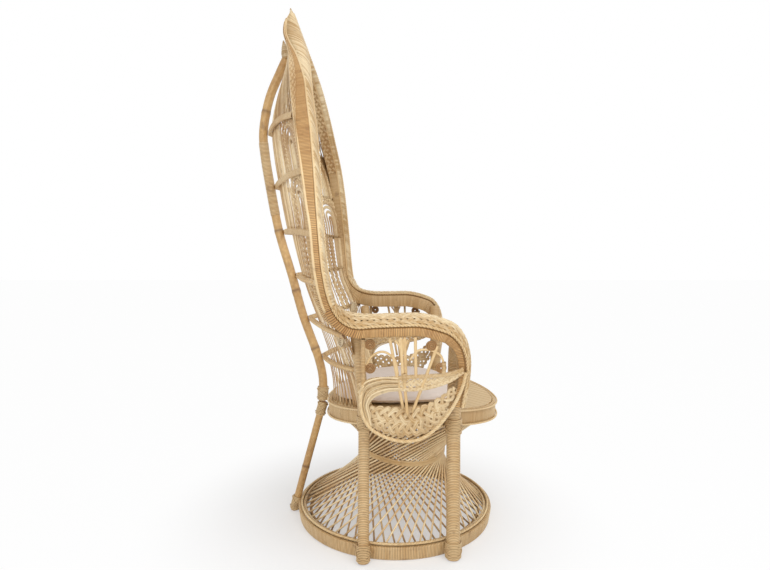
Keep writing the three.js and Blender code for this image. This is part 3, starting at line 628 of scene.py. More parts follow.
class Nodes:
    """Adds and joins shader nodes in one tree."""

    def __init__(self, tree: bpy.types.NodeTree) -> None:
        """Takes the node tree to work in."""
        self.tree = tree

    def add(self, kind: str, settings: dict | None = None, **inputs: object) -> bpy.types.Node:
        """Adds and returns a node.

        Args:
            kind: the node's type name.
            settings: properties of the node itself.
            inputs: values or sockets for its inputs, by name, with _ for a space.
        """
        node = self.tree.nodes.new(kind)
        for key, value in (settings or {}).items():
            setattr(node, key, value)
        for key, value in inputs.items():
            self.feed(node.inputs[key.replace("_", " ")], value)
        return node

    def feed(self, socket: Socket, value: object) -> None:
        """Links a socket to a value's socket, or sets it to a plain value."""
        if isinstance(value, Socket):
            self.tree.links.new(value, socket)
        else:
            socket.default_value = value

    def maths(self, operation: str, first: object, second: object = 0.0) -> Socket:
        """Returns the result of one sum."""
        node = self.add("ShaderNodeMath", {"operation": operation})
        self.feed(node.inputs[0], first)
        self.feed(node.inputs[1], second)
        return node.outputs[0]

    def clouds(self, scale: float, detail: float = 2.0) -> Socket:
        """Returns soft clouds that lie still in the chair's own space."""
        spot = self.add("ShaderNodeTexCoord").outputs["Object"]
        return self.add("ShaderNodeTexNoise", Vector=spot, Scale=scale, Detail=detail).outputs["Fac"]

    def weave(self, waves: float) -> Socket:
        """Returns a level weave that repeats so fast, in radians for a metre."""
        spot = self.add("ShaderNodeTexCoord").outputs["Object"]
        parts = self.add("ShaderNodeSeparateXYZ", Vector=spot).outputs
        warp, weft = (self.maths("SINE", self.maths("MULTIPLY", part, waves)) for part in parts[:2])
        return self.maths("MULTIPLY", warp, weft)

    def blend(self, share: object, low: object, high: object) -> Socket:
        """Returns a colour mixed from two."""
        node = self.add("ShaderNodeMix", {"data_type": "RGBA"})
        self.feed(node.inputs[0], share)
        self.feed(node.inputs[6], low)
        self.feed(node.inputs[7], high)
        return node.outputs[2]


@dataclass(frozen=True)
class FibreLook:
    """How cane's fibre, age and stains vary, the same for every finish."""

    along: float = 90.0
    round: float = 9.0
    strand_step: float = 37.0
    age_scale: float = 7.0
    age_strength: float = 1.6
    stain_scale: float = 38.0
    stain_start: float = 0.62
    stain_strength: float = 2.2
    base_tone: float = 0.12
    rough_least: float = 0.38
    rough_spread: float = 0.25
    groove_fall: float = 0.5

    def fibre(self, nodes: Nodes, tone: Socket) -> Socket:
        """Returns long streaks that run with the cane and differ from strand to strand."""
        run = nodes.add("ShaderNodeUVMap", {"uv_map": RUN_MAP}).outputs["UV"]
        stretched = nodes.add("ShaderNodeMapping", Vector=run, Scale=(self.along, self.round, 1.0))
        step = nodes.maths("MULTIPLY", tone, self.strand_step)
        place = nodes.add("ShaderNodeVectorMath", {"operation": "ADD"})
        nodes.feed(place.inputs[0], stretched.outputs[0])
        nodes.feed(place.inputs[1], nodes.add("ShaderNodeCombineXYZ", Z=step).outputs[0])
        noise = nodes.add("ShaderNodeTexNoise", Vector=place.outputs[0], Scale=1.0, Detail=3.0)
        return noise.outputs["Fac"]

    def group(self) -> bpy.types.NodeTree:
        """Returns the shared group that gives cane its fibre, its tones and its darkening by the groove
        attribute, which is painted shade in grooves and under the weave, and the dark lines at the poles'
        knots.
        """
        name = "cane_fibre"
        if name in bpy.data.node_groups:
            return bpy.data.node_groups[name]
        tree = bpy.data.node_groups.new(name, "ShaderNodeTree")
        colours, floats = "NodeSocketColor", "NodeSocketFloat"
        for way, sockets in (
                ("INPUT", {"Light": colours, "Mid": colours, "Dark": colours,
                           "Spread": floats, "Streak": floats, "Depth": floats}),
                ("OUTPUT", {"Color": colours, "Roughness": floats, "Height": floats})):
            for socket, kind in sockets.items():
                tree.interface.new_socket(name=socket, in_out=way, socket_type=kind)
        self.fill(Nodes(tree))
        return tree

    def fill(self, nodes: Nodes) -> None:
        """Joins the nodes: a colour by tone, fibre and age, darkened by the cane's own stains and by the
        groove attribute, which paints shade into grooves, gaps and the core under the weave and carries the
        real dark lines at knots.
        """
        given = nodes.add("NodeGroupInput").outputs
        tone = nodes.add("ShaderNodeAttribute", {"attribute_name": "tone"}).outputs["Fac"]
        groove = nodes.add("ShaderNodeAttribute", {"attribute_name": "groove"}).outputs["Fac"]
        fibre = self.fibre(nodes, tone)
        age, stain = nodes.clouds(self.age_scale), nodes.clouds(self.stain_scale)
        varied = nodes.maths("MULTIPLY", nodes.maths("SUBTRACT", fibre, 0.5), given["Streak"])
        aged = nodes.maths("MULTIPLY", nodes.maths("SUBTRACT", age, 0.5), self.age_strength)
        spread = nodes.maths("MULTIPLY", tone, given["Spread"])
        share = nodes.maths("ADD", nodes.maths("ADD", spread, varied),
                            nodes.maths("ADD", aged, self.base_tone))
        clamped = nodes.maths("MINIMUM", nodes.maths("MAXIMUM", share, 0.0), 1.0)
        body = nodes.blend(clamped, given["Light"], given["Mid"])
        over = nodes.maths("MAXIMUM", nodes.maths("SUBTRACT", stain, self.stain_start), 0.0)
        stained = nodes.maths("MULTIPLY", over, self.stain_strength)
        # Painted shade: the groove attribute pulls the colour towards Dark where shade would fall between
        # turns, rings and strands; the stains and the knot lines are the cane's own colour.
        deep = nodes.maths("ADD", nodes.maths("MULTIPLY", groove, given["Depth"]), stained)
        rough = nodes.maths("MULTIPLY", fibre, self.rough_spread)
        result = nodes.add("NodeGroupOutput").inputs
        nodes.feed(result["Color"], nodes.blend(nodes.maths("MINIMUM", deep, 1.0), body, given["Dark"]))
        nodes.feed(result["Roughness"], nodes.maths("ADD", rough, self.rough_least))
        fall = nodes.maths("MULTIPLY", groove, self.groove_fall)
        nodes.feed(result["Height"], nodes.maths("SUBTRACT", fibre, fall))


@dataclass(frozen=True)
class Finish:
    """A finish of cane or reed."""

    name: str
    slot: Slot
    light: tuple[int, int, int]
    mid: tuple[int, int, int]
    # Dark takes both the real stains and the painted shade of the groove attribute.
    dark: tuple[int, int, int]
    spread: float = 0.5
    streak: float = 0.9
    # Depth: how far the groove attribute pulls the colour to dark, mostly painted shade in grooves, gaps
    # and cores, and the poles' knot lines.
    depth: float = 0.9
    bump: float = 0.35
    bump_depth: float = 0.0006
    coat: float = 0.12
    coat_roughness: float = 0.4

    def material(self) -> Material:
        """Returns the finish's material, made once."""
        if self.name in bpy.data.materials:
            return bpy.data.materials[self.name]
        material, nodes, shader = new_material(self.name)
        group = nodes.add("ShaderNodeGroup", {"node_tree": FibreLook().group()}, Light=colour(*self.light),
                          Mid=colour(*self.mid), Dark=colour(*self.dark), Spread=self.spread,
                          Streak=self.streak, Depth=self.depth)
        bump = nodes.add("ShaderNodeBump", Strength=self.bump, Distance=self.bump_depth,
                         Height=group.outputs["Height"])
        nodes.feed(shader.inputs["Base Color"], group.outputs["Color"])
        nodes.feed(shader.inputs["Roughness"], group.outputs["Roughness"])
        nodes.feed(shader.inputs["Normal"], bump.outputs["Normal"])
        shader.inputs["Coat Weight"].default_value = self.coat
        shader.inputs["Coat Roughness"].default_value = self.coat_roughness
        return material


PEELED = Finish("peeled_cane_wrap", Slot.WRAPPED, (226, 197, 148), (194, 153, 96), (112, 72, 34))
BAND = Finish("honey_cane_wrap", Slot.WRAPPED, (210, 168, 108), (174, 126, 68), (96, 60, 28), spread=0.55)
BEAD = Finish("pale_edge_reed", Slot.WRAPPED, (232, 208, 164), (206, 170, 116), (122, 84, 44), spread=0.4)
REED = Finish("core_reed", Slot.WOVEN, (233, 213, 174), (188, 152, 100), (112, 76, 40), spread=0.85)
# The stake reed comes in two copies: a darker one, painted shade, for the inner family behind, and a paler
# one, painted light as if lit from the front, for the outer family.
SHADED = Finish("shaded_stake_reed", Slot.POLE, (208, 174, 124), (166, 126, 80), (100, 66, 34), spread=0.7)
LIT_STAKE = Finish("stake_reed", Slot.POLE, (246, 224, 180), (208, 170, 118), (120, 82, 44), spread=0.7)
POLE = Finish("bare_rattan_pole", Slot.POLE, (206, 168, 110), (164, 118, 64), (92, 56, 26),
              streak=1.4, coat=0.3)
CORE = Finish("shaded_core", Slot.WRAPPED, (196, 160, 108), (160, 120, 74), (104, 70, 36), coat=0.0)
COIL = Finish("brown_coiled_cane", Slot.WRAPPED, (176, 132, 80), (140, 96, 50), (84, 52, 24), spread=0.4)
LACE = Finish("lace_reed", Slot.WOVEN, (235, 212, 168), (176, 136, 86), (108, 72, 38), spread=1.0)


# Base


@dataclass
class BaseRing:
    """The wrapped ring on the floor, with the stitched bead along its top."""

    radius: float = 0.304
    flare: float = 0.006
    height: float = 0.038
    wall: float = 0.012
    bead: float = 0.004
    bead_lay: float = 0.016
    corner: float = 0.003
    wrap_room: float = 0.0008
    pitch: float = 0.0042
    inner_reed: float = 0.0035
    inner_reed_inset: float = 0.002
    steps: int = 160

    def top_radius(self) -> float:
        """Returns the outer radius at the band's top edge."""
        return self.radius - self.flare

    def loop(self, radius: float, height: float) -> Array:
        """Returns a level ring of points round the base's centre."""
        turn = np.arange(self.steps) / self.steps * 2 * pi
        level = np.full(self.steps, height)
        return np.stack([radius * np.sin(turn), radius * np.cos(turn) + SHIFT, level], axis=1)

    def build(self) -> None:
        """Makes the band and its bead."""
        band = Fibres(11)
        middle = self.radius - self.flare / 2 - self.wall / 2
        line = self.loop(middle, self.height / 2)
        section = band_section(self.height / 2 - RIDGE, self.wall / 2 - self.wrap_room, self.corner,
                               self.flare / 2)
        band.wound(line, facing(line, UP, closed=True), section, self.pitch, closed=True)
        band.piece("base_band", PEELED, ["base_ring"])
        bead = Fibres(12)
        lift = self.height + TOUCH + self.bead
        top = self.top_radius()
        bead.twisted(self.loop(top - self.wall / 2, lift), self.bead, self.bead_lay, closed=True)
        inner = self.loop(top - self.wall - self.inner_reed_inset, self.height - self.inner_reed_inset)
        bead.rod(inner, self.inner_reed, closed=True, hint=UP)
        bead.piece("base_bead_twist", BEAD, ["base_bead"])


# Seat


@dataclass
class Seat:
    """The oval seat: band with raised sides, two beads and a woven deck."""

    forward: float = 0.054
    half_width: float = 0.264
    half_depth: float = 0.260
    height: float = 0.385
    lift: float = 0.015
    band: float = 0.045
    wall: float = 0.011
    bead: float = 0.003
    bead_lay: float = 0.014
    corner: float = 0.003
    deck: float = 0.008
    steps: int = 160

    def place(self, turn: float, outset: float, drop: float) -> Array:
        """Returns a point of the seat's edge at a turn from its rear."""
        return np.array([
            (self.half_width + outset) * sin(turn),
            (self.half_depth + outset) * cos(turn) - self.forward + SHIFT,
            self.height - self.lift * cos(2 * turn) - drop,
        ])

    def loop(self, outset: float, drop: float) -> Array:
        """Returns a ring of points along the seat's edge."""
        turns = [i / self.steps * 2 * pi for i in range(self.steps)]
        return np.array([self.place(turn, outset, drop) for turn in turns])

    def top_at(self, x: float, y: float) -> float:
        """Returns the height of the seat's top under a point."""
        across = x / self.half_width
        along = (y - SHIFT + self.forward) / self.half_depth
        return self.height + self.lift * (across * across - along * along)

    def build(self) -> None:
        """Makes the band and the beads, and dresses the deck."""
        band = Fibres(21)
        line = self.loop(-self.wall / 2, self.band / 2)
        section = band_section(self.band / 2 - RIDGE, self.wall / 2 - RIDGE, self.corner)
        band.wound(line, facing(line, UP, closed=True), section, closed=True)
        band.piece("seat_band", PEELED, ["seat_ring"])
        out = self.bead + TOUCH
        for name, drop in (("upper", self.bead), ("lower", self.band - self.bead)):
            bead = Fibres(22)
            bead.twisted(self.loop(out, drop), self.bead, self.bead_lay, closed=True)
            bead.piece(f"seat_edge_{name}", BEAD, [f"seat_bead_{name}"])
        coat(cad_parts["seat_deck"], weave_material())
        LOG.info("dressed seat_deck")


def weave_material(waves: float = 330.0) -> Material:
    """Returns a close basket weave of flat cane for the seat's deck."""
    material, nodes, shader = new_material("basket_weave", 0.6)
    share = nodes.maths("ADD", nodes.maths("MULTIPLY", nodes.weave(waves), 0.5), 0.5)
    tint = nodes.blend(share, colour(232, 208, 162), colour(190, 154, 104))
    bump = nodes.add("ShaderNodeBump", Strength=0.8, Distance=0.0015, Height=share)
    nodes.feed(shader.inputs["Base Color"], tint)
    nodes.feed(shader.inputs["Normal"], bump.outputs["Normal"])
    return material


# Hourglass


@dataclass
class Hourglass:
    """Two families of straight reeds that cross between the base ring and the seat."""

    base: BaseRing
    seat: Seat
    count: int = 56
    radius: float = 0.0026
    waist: float = 0.125
    gap: float = 0.0074
    hoop_wall: float = 0.006
    hoop_height: float = 0.017
    headroom: float = 0.0015
    hoop_step: float = 0.014
    spread: float = 0.017
    sides: int = 40
    tuck: float = 0.004
    wrap_half: float = 0.008
    wrap_wall: float = 0.0028
    wrap_corner: float = 0.002
    wrap_steps: int = 160
    bind_inset: float = 0.018
    bind_lift: float = 0.0022
    bind_cord: float = 0.0021
    bind_pitch: float = 0.0037
    bind_rows: tuple[float, ...] = (-1.5, -0.5, 0.5, 1.5)

    def ends(self, inner: int, i: int) -> tuple[Array, Array]:
        """Returns the foot and the top of a reed of the outer family, 0, or the inner one, 1."""
        sag = self.base.radius * (1 - cos(pi / self.sides))
        inset = TOUCH + sag + self.hoop_wall / 2 + inner * self.spread
        near_end = self.hoop_height / 2 + self.headroom
        step = (1 - inner) * self.hoop_step
        foot_radius = self.base.top_radius() - self.base.wall - inset
        top_inset = self.seat.wall + inset
        top_radius = (self.seat.half_width + self.seat.half_depth) / 2 - top_inset
        waist = self.waist - inner * (2 * self.radius + self.gap)
        twist = acos(waist / foot_radius) + acos(waist / top_radius)
        turn = i / self.count * 2 * pi
        foot_height = near_end + self.hoop_height / 2 + step
        foot = np.array([foot_radius * sin(turn), foot_radius * cos(turn) + SHIFT, foot_height])
        lean = 1 - 2 * inner
        top = self.seat.place(turn - lean * twist, -top_inset, 0)
        top[2] = self.seat.top_at(top[0], top[1]) - self.seat.deck - near_end - step
        return foot, top

    def hoop(self, inner: int, place: int) -> Array:
        """Returns the ring of points that a family's feet or tops stand on."""
        return np.array([self.ends(inner, i)[place] for i in range(self.count)])

    def build(self) -> None:
        """Makes both families and the binding at the waist."""
        section = band_section(self.wrap_half, self.wrap_wall, self.wrap_corner)
        for inner, name in enumerate(("outer", "inner")):
            reeds = Fibres(31 + inner)
            for i in range(self.count):
                foot, top = self.ends(inner, i)
                beyond = unit(top - foot) * self.tuck
                reeds.rod(np.linspace(foot - beyond, top + beyond, 8), self.radius, 8)
            for place in (0, 1):
                hoop = self.hoop(inner, place)
                ring = Curve(np.concatenate([hoop, hoop[:1]])).spread(self.wrap_steps)[:-1]
                reeds.wound(ring, facing(ring, UP, closed=True), section, closed=True)
            # Painted light and shade: the outer family takes the paler stake copy, the inner family the
            # darker one.
            reeds.piece(f"{name}_reeds", SHADED if inner else LIT_STAKE, [f"{name}_stakes"])
        self.bind()

    def bind(self) -> None:
        """Makes the turns of cane that bind the waist."""
        turns = Fibres(33)
        foot_radius = np.linalg.norm(self.ends(0, 0)[0][:2] - [0, SHIFT])
        top_radius = (self.seat.half_width + self.seat.half_depth) / 2
        share = foot_radius / (foot_radius + top_radius - self.bind_inset)
        places = []
        centre = np.array([0, SHIFT - self.seat.forward * share, 0])
        for i in range(self.count):
            foot, top = self.ends(0, i)
            point = foot + (top - foot) * share
            away = unit((point - centre) * np.array([1, 1, 0]))
            places.append(point + away * (self.radius + self.bind_lift))
        for row in self.bind_rows:
            loop = np.array(places) + np.array([0, 0, row * self.bind_pitch])
            turns.rod(loop, self.bind_cord, 6, closed=True, hint=UP)
        turns.piece("waist_turns", PEELED, ["waist_binding"])


# Legs


@dataclass
class Leg:
    """One wrapped pole from the floor past the seat to the underside of the arm.

    Its top bends outward by the tuck, so that it ends under the arm's band.
    """

    name: str
    radius: float
    forward: float
    top_width: float
    lean: float
    top_height: float = 0.63
    end_height: float = 0.625
    tuck: float = 0.024
    pitch: float = 0.0044
    ridge: float = 0.0008
    least_share: float = 0.3
    foot: float = 0.004
    lashing: float = 0.042
    seat_sides: int = 40
    bead_sides: int = 5

    def line(self, base: BaseRing, seat: Seat) -> Array:
        """Returns the leg's centre line on the sitter's left."""
        reach = base.radius + self.radius + TOUCH
        y = -self.forward
        turn = acos((y + seat.forward) / seat.half_depth)
        step = 2 * pi / self.seat_sides
        offset = turn - step * (floor(turn / step) + 0.5)
        sag = seat.half_width * (1 - cos(pi / self.seat_sides) / cos(offset))
        outset = seat.bead * (1 + cos(pi / self.bead_sides)) + 2 * TOUCH + self.radius - sag
        across = (y + seat.forward) / (seat.half_depth + outset)
        seat_width = (seat.half_width + outset) * sqrt(1 - across * across)
        foot_width = sqrt(reach * reach - y * y)
        middle = seat.height - seat.band / 2
        places = [
            [foot_width, y, 0],
            [mix(foot_width, seat_width, 0.6), y, middle * 0.55],
            [seat_width, y, middle],
            [mix(seat_width, self.top_width, 0.45), y + self.lean * 0.4, mix(middle, self.top_height, 0.5)],
            [self.top_width, y + self.lean, self.top_height],
        ]
        return Curve(places).spread(40) + np.array([0, SHIFT, 0])

    def build(self, base: BaseRing, seat: Seat) -> None:
        """Makes the wrapped pole and its two lashings on both sides."""
        line = self.line(base, seat)
        left = (self.end_height + self.radius - line[:, 2]) / self.radius
        radii = np.clip(left, self.least_share, 1.0) * (self.radius - self.ridge)
        kept = line[:, 2] < self.end_height
        bends = [smooth(self.end_height - 4 * self.radius, self.end_height, z) for z in line[:, 2]]
        line = line + SIDEWAYS * self.tuck * np.array(bends)[:, None]
        sections = (circle(1.0, 16)[None] * radii[:, None, None])[kept]
        pole = Fibres(41)
        pole.wound(line[kept], facing(line, SIDEWAYS)[kept], sections, self.pitch, self.ridge)
        pole.stand()
        pair(f"leg_wrap_{self.name}", pole, PEELED, [f"leg_{self.name}"])
        for where, low in (("foot", self.foot), ("seat", seat.height - seat.band)):
            low_end, high_end = (at_height(line, low + rise) for rise in (0.0, self.lashing))
            for side in Side:
                mirror = np.array([SIGNS[side], 1.0, 1.0])
                name = f"{self.name}_{side.value}"
                lashing(f"{where}_turns_{name}", low_end * mirror, high_end * mirror, self.radius,
                        [f"{where}_lashing_{name}"])


# Spine and strut


@dataclass
class Spine:
    """The rear strut and the bare pole that stands behind the woven back."""

    base: BaseRing
    seat: Seat
    strut_radius: float = 0.012
    strut_top: float = 0.352
    radius: float = 0.014
    reach: float = 0.402
    height: float = 1.42
    foot_height: float = 0.358
    leaf_length: float = 0.056
    leaf_lean: float = 0.14
    lashing: float = 0.042
    lashing_foot: float = 0.004
    pitch: float = 0.004
    leaf_pitch: float = 0.0032
    step: float = 0.006
    slim_share: float = 0.05
    swell_share: float = 0.07
    knot_spread: float = 0.006
    knot_line: float = 0.004
    pole_tone: float = 0.4
    strut_knots: tuple[float, ...] = (0.14,)
    leaf_shares: Pairs = ((0, 0.8), (0.3, 0.85), (0.65, 0.55), (1, 0.08))
    shares: Pairs = (
        (0.562, 0.3), (0.592, 0.343), (0.711, 0.44), (0.796, 0.53), (0.888, 0.621), (0.963, 0.737),
        (0.988, 0.785), (1, 0.835), (0.95, 0.908), (0.863, 0.965), (0.82, 0.99),
    )
    wrapped: Pair = (0.93, 1.16)
    knots: tuple[float, ...] = (0.33, 0.52, 0.7, 0.885, 1.245)

    def rear(self) -> float:
        """Returns how far back the seat reaches, from the base's centre."""
        return self.seat.half_depth - self.seat.forward + 2 * self.seat.bead + 2 * TOUCH

    def line(self) -> Array:
        """Returns the spine's centre line, in the row frame."""
        foot = [0, self.rear() + self.radius, self.foot_height]
        places = [foot] + [[0, reach * self.reach, height * self.height] for reach, height in self.shares]
        return Curve(places).spread(160) + np.array([0, SHIFT, 0])

    def strut_line(self) -> Array:
        """Returns the strut's centre line."""
        top = self.rear() + self.strut_radius
        rest = self.base.top_radius() + self.strut_radius + TOUCH
        share = self.base.height / self.strut_top
        foot = (rest - top * share) / (1 - share)
        return np.linspace([0, foot + SHIFT, 0], [0, top + SHIFT, self.strut_top], 30)

    def pole(self, fibres: Fibres, line: Array, radius: float, knots: Sequence[float]) -> None:
        """Adds a bare pole that swells at its knots' heights and stands flat on the floor."""
        line = evenly(line, self.step)
        rise = line[:, 2]
        swell = sum(np.exp(-((rise - knot) / self.knot_spread) ** 2) for knot in knots)
        dark = sum(np.exp(-((rise - knot - self.knot_line) / self.knot_line) ** 2) for knot in knots)
        scales = 1 - self.slim_share + self.swell_share * swell
        sections = circle(radius, 20)[None] * scales[:, None, None]
        fibres.rings(line, facing(line, SIDEWAYS), sections, self.pole_tone, np.minimum(dark, 1.0) * 0.8)
        fibres.stand()

    def build(self) -> None:
        """Makes the poles, the wrapped stretch, the lashings and the leaf."""
        line = self.line()
        spine = Fibres(51)
        self.pole(spine, line, self.radius, self.knots)
        spine.piece("spine_pole", POLE, ["spine"])
        wrap = Fibres(52)
        low, high = self.wrapped
        part = line[(line[:, 2] > low) & (line[:, 2] < high)]
        wrap.wound(part, facing(part, SIDEWAYS), circle(self.radius, 16), self.pitch)
        wrap.piece("spine_wrap", PEELED)
        strut = Fibres(53)
        self.pole(strut, self.strut_line(), self.strut_radius, self.strut_knots)
        strut.piece("strut_pole", POLE, ["rear_strut"])
        stretches = {
            "strut_foot": (self.strut_line(), self.lashing_foot, self.strut_radius),
            "strut_top": (self.strut_line(), self.strut_top - self.lashing, self.strut_radius),
            "spine": (line, self.foot_height, self.radius),
        }
        for name, (path, start, radius) in stretches.items():
            low, high = at_height(path, start), at_height(path, start + self.lashing)
            lashing(f"{name}_turns", low, high, radius, [f"{name}_lashing"])
        self.leaf(line)

    def leaf(self, line: Array) -> None:
        """Makes the wrapped leaf on top of the spine."""
        rises = np.linspace(0, 1, 18)
        rise = np.array([0, self.leaf_lean, 1]) * self.leaf_length
        path = line[-1] + rises[:, None] * rise
        swell = np.interp(rises, *zip(*self.leaf_shares))
        leaf = Fibres(55)
        sections = circle(self.radius, 14)[None] * swell[:, None, None]
        leaf.wound(path, facing(path, SIDEWAYS), sections, self.leaf_pitch)
        leaf.piece("spine_leaf", REED, ["spine_tip"])


# Woven back


@dataclass(frozen=True)
class Tier:
    """The lace between two ribs. Turns run from 0 at the spine to 1 at the rim."""

    canes: tuple[tuple[float, float, int], ...]
    loops: Pair | None = None
    braids: tuple[float, ...] = ()


@dataclass
class WovenBack:
    """The ribs and the lace between them, a hollow that runs from rim to rim."""

    seat: Seat
    spine: Spine
    half_width: float = 0.465
    rake: float = 0.311
    height: float = 1.552
    rib_height: float = 0.016
    rib_thickness: float = 0.006
    top: float = 1.37
    top_rise: float = 0.03
    seat_inset: float = 0.012
    band_room: float = 0.0004
    corner: float = 0.0018
    ridge: float = 0.0006
    plait_lift: float = 0.0018
    plait_share: float = 0.95
    plait: Plait = Plait(0.026)
    rope: float = 0.0042
    rope_lift: float = 0.0012
    stations: int = 91
    lace_depth: float = 0.006
    reed_room: float = 0.0008
    reed: float = 0.0022
    cane_width: float = 0.0078
    cane_thickness: float = 0.0026
    plan_low: float = 0.7
    plan_high: float = 0.2
    plan_until: float = 0.4
    roped_ribs: int = 3
    braid_width: float = 0.04
    braid: Plait = Plait(0.045, 0.0028, 4)
    arch_steps: Pairs = (
        (1.0, 0.99), (0.74, 0.88), (0.5, 0.76), (0.3, 0.64), (0.1, 0.5),
    )
    arch_bow_share: float = 0.34
    arch_lift: float = 0.0012
    arch_plait: Plait = Plait(0.03, 0.0024, 2)
    plaited_arches: int = 2
    trellis_count: int = 20
    trellis_slope: float = 2.6
    trellis_span: Pair = (0.045, 0.985)
    trellis_eye: float = 0.05
    trellis_width: float = 0.005
    rosette_turn: float = 0.8
    rosette_height: float = 0.609
    rosette_lift: float = 0.0095
    rosette_radius: float = 0.028
    rosette_cord: float = 0.0028
    edge_shares: Triples = (
        (0.484, 0.2, 0.25), (0.548, 0.334, 0.327), (0.856, 0.437, 0.405), (0.94, 0.58, 0.463),
        (0.985, 0.61, 0.487), (1.02, 0.635, 0.537), (1.02, 0.645, 0.565), (1.012, 0.655, 0.594),
        (0.974, 0.69, 0.624), (0.95, 0.716, 0.654), (0.91, 0.748, 0.686), (0.843, 0.8, 0.727),
        (0.723, 0.855, 0.776), (0.553, 0.91, 0.838), (0.4, 0.965, 0.885),
    )
    rib_shares: Pairs = (
        (0.321, 0.005), (0.398, 0.002), (0.484, 0.004), (0.57, -0.01), (0.659, -0.004), (0.764, -0.018),
    )
    tiers: tuple[Tier, ...] = (
        Tier(((0.2, 0.62, 7), (0.68, 0.96, 8))),
        Tier(((0.32, 0.62, 6), (0.67, 0.97, 10))),
        Tier(((0.36, 0.56, 5), (0.79, 0.97, 9)), braids=(0.63, 0.72)),
        Tier(((0.34, 0.56, 6), (0.79, 0.97, 10)), braids=(0.625, 0.715)),
        Tier(((0.07, 0.53, 10), (0.93, 0.985, 3)), loops=(0.575, 0.925)),
        Tier(((0.07, 0.53, 10), (0.93, 0.985, 3)), loops=(0.575, 0.925)),
    )
    edge: Array = field(init=False)
    rear: Array = field(init=False)

    def __post_init__(self) -> None:
        """Works out the side edge and the rear line once."""
        places = [[w * self.half_width, d * self.rake + SHIFT, h * self.height]
                  for w, d, h in self.edge_shares]
        self.edge = Curve(places).spread(600)
        self.rear = self.spine.line()

    def place(self, turn: float, height: float, inset: float) -> Array:
        """Returns a point of the back.

        Args:
            turn: 0 at the spine, 1 at the left edge and -1 at the right one.
            height: the point's height.
            inset: how far it lies inside the back's outer face.
        """
        edge_x = np.interp(height, self.edge[:, 2], self.edge[:, 0])
        edge_y = np.interp(height, self.edge[:, 2], self.edge[:, 1])
        rear = np.interp(height, self.rear[:, 2], self.rear[:, 1]) - self.spine.radius - TOUCH
        depth = rear - edge_y
        angle = turn * pi / 2
        climb = smooth(self.seat.height, self.plan_until * self.height, height)
        bend = mix(self.plan_low, self.plan_high, climb)
        sign = float(np.sign(turn))
        across = -depth * mix(sign, sin(angle), bend)
        inward = unit(np.array([across, -edge_x * mix(1.0, cos(angle), bend), 0.0]))
        x = edge_x * mix(turn, sin(angle), bend)
        y = edge_y + depth * mix(1 - abs(turn), cos(angle), bend)
        return np.array([x, y, height]) + inward * inset

    def inward(self, turn: float, height: float) -> Array:
        """Returns the direction into the hollow at a point of the back."""
        return self.place(turn, height, 1.0) - self.place(turn, height, 0.0)

    def rib_height_at(self, rib: int, turn: float) -> float:
        """Returns the height of a rib at a turn; -1 is the seat and 6 the top of the lace."""
        if rib < 0:
            stand = self.place(turn, self.seat.height, self.seat_inset)
            return self.seat.top_at(stand[0], stand[1])
        if rib >= len(self.rib_shares):
            return self.top + self.top_rise * (1 - abs(turn))
        height, rise = self.rib_shares[rib]
        return (height + rise * turn * turn) * self.height

    def line(self, rib: int, inset: float, rise: float = 0.0) -> Array:
        """Returns a line along a rib from one edge to the other."""
        turns = np.linspace(-1, 1, self.stations)
        return np.array([self.place(t, self.rib_height_at(rib, t) + rise, inset) for t in turns])

    def build(self) -> None:
        """Makes the ribs and each tier of lace."""
        for rib in range(len(self.rib_shares)):
            self.build_rib(rib)
        for side, sign in SIGNS.items():
            lace = Fibres(62)
            for number, tier in enumerate(self.tiers):
                self.fill(lace, tier, number - 1, sign)
            self.trellis(lace, len(self.rib_shares) - 1, sign)
            lace.piece(f"back_lace_{side.value}", LACE, [f"back_panel_{side.value}"])
            self.rosette(side.value, sign)

    def rosette(self, name: str, side: float) -> None:
        """Makes the coil of cane inside the back, where an arm leaves it."""
        turn, height = side * self.rosette_turn, self.rosette_height
        centre = self.place(turn, height, self.rib_thickness + self.rosette_lift)
        rings = coil(centre, self.inward(turn, height), self.rosette_radius, self.rosette_cord)
        joined(f"back_rosette_{name}", rings, REED)

    def build_rib(self, rib: int) -> None:
        """Makes one rib: a wrapped band, dressed with plait and rope on the lower ones."""
        band = Fibres(61 + rib)
        depth = self.rib_thickness / 2 + TOUCH
        line = self.line(rib, depth)
        climb = self.line(rib, depth, self.rib_height / 2) - line
        thick = self.rib_thickness / 2 - self.band_room
        section = band_section(self.rib_height / 2 - RIDGE, thick, self.corner)
        band.wound(line, facing(line, climb), section, ridge=self.ridge)
        if rib < self.roped_ribs:
            self.rope_rib(band, rib, line, thick)
        band.piece(f"rib_band_{rib + 1}", PEELED, [f"back_rib_{rib + 1}"])

    def rope_rib(self, band: Fibres, rib: int, line: Array, thick: float) -> None:
        """Adds a plait along a rib's inside and a rope along each half of its outside."""
        turns = np.linspace(-1, 1, self.stations)
        inward = np.array([self.inward(t, self.rib_height_at(rib, t)) for t in turns])
        inner = line + inward * (thick + self.plait_lift)
        band.plaited(inner, inward, self.rib_height * self.plait_share, self.plait)
        outer = line - inward * (thick + self.rope_lift)
        end, left, right = 4, self.stations * 9 // 20 + 1, self.stations * 11 // 20
        for part in (outer[end:left], outer[right:-end]):
            band.twisted(part, self.rope)

    def upright(self, turn: float, tier: int, side: float,
                count: int = 9) -> tuple[Array, Array]:
        """Returns a line from one rib to the next at a turn and the inward direction along it."""
        low, high = (self.rib_height_at(tier + k, side * turn) for k in (0, 1))
        heights = np.linspace(low + self.reed_room, high, count)
        depth = self.rib_thickness + self.lace_depth
        path = np.array([self.place(side * turn, z, depth) for z in heights])
        return path, np.array([self.inward(side * turn, z) for z in heights])

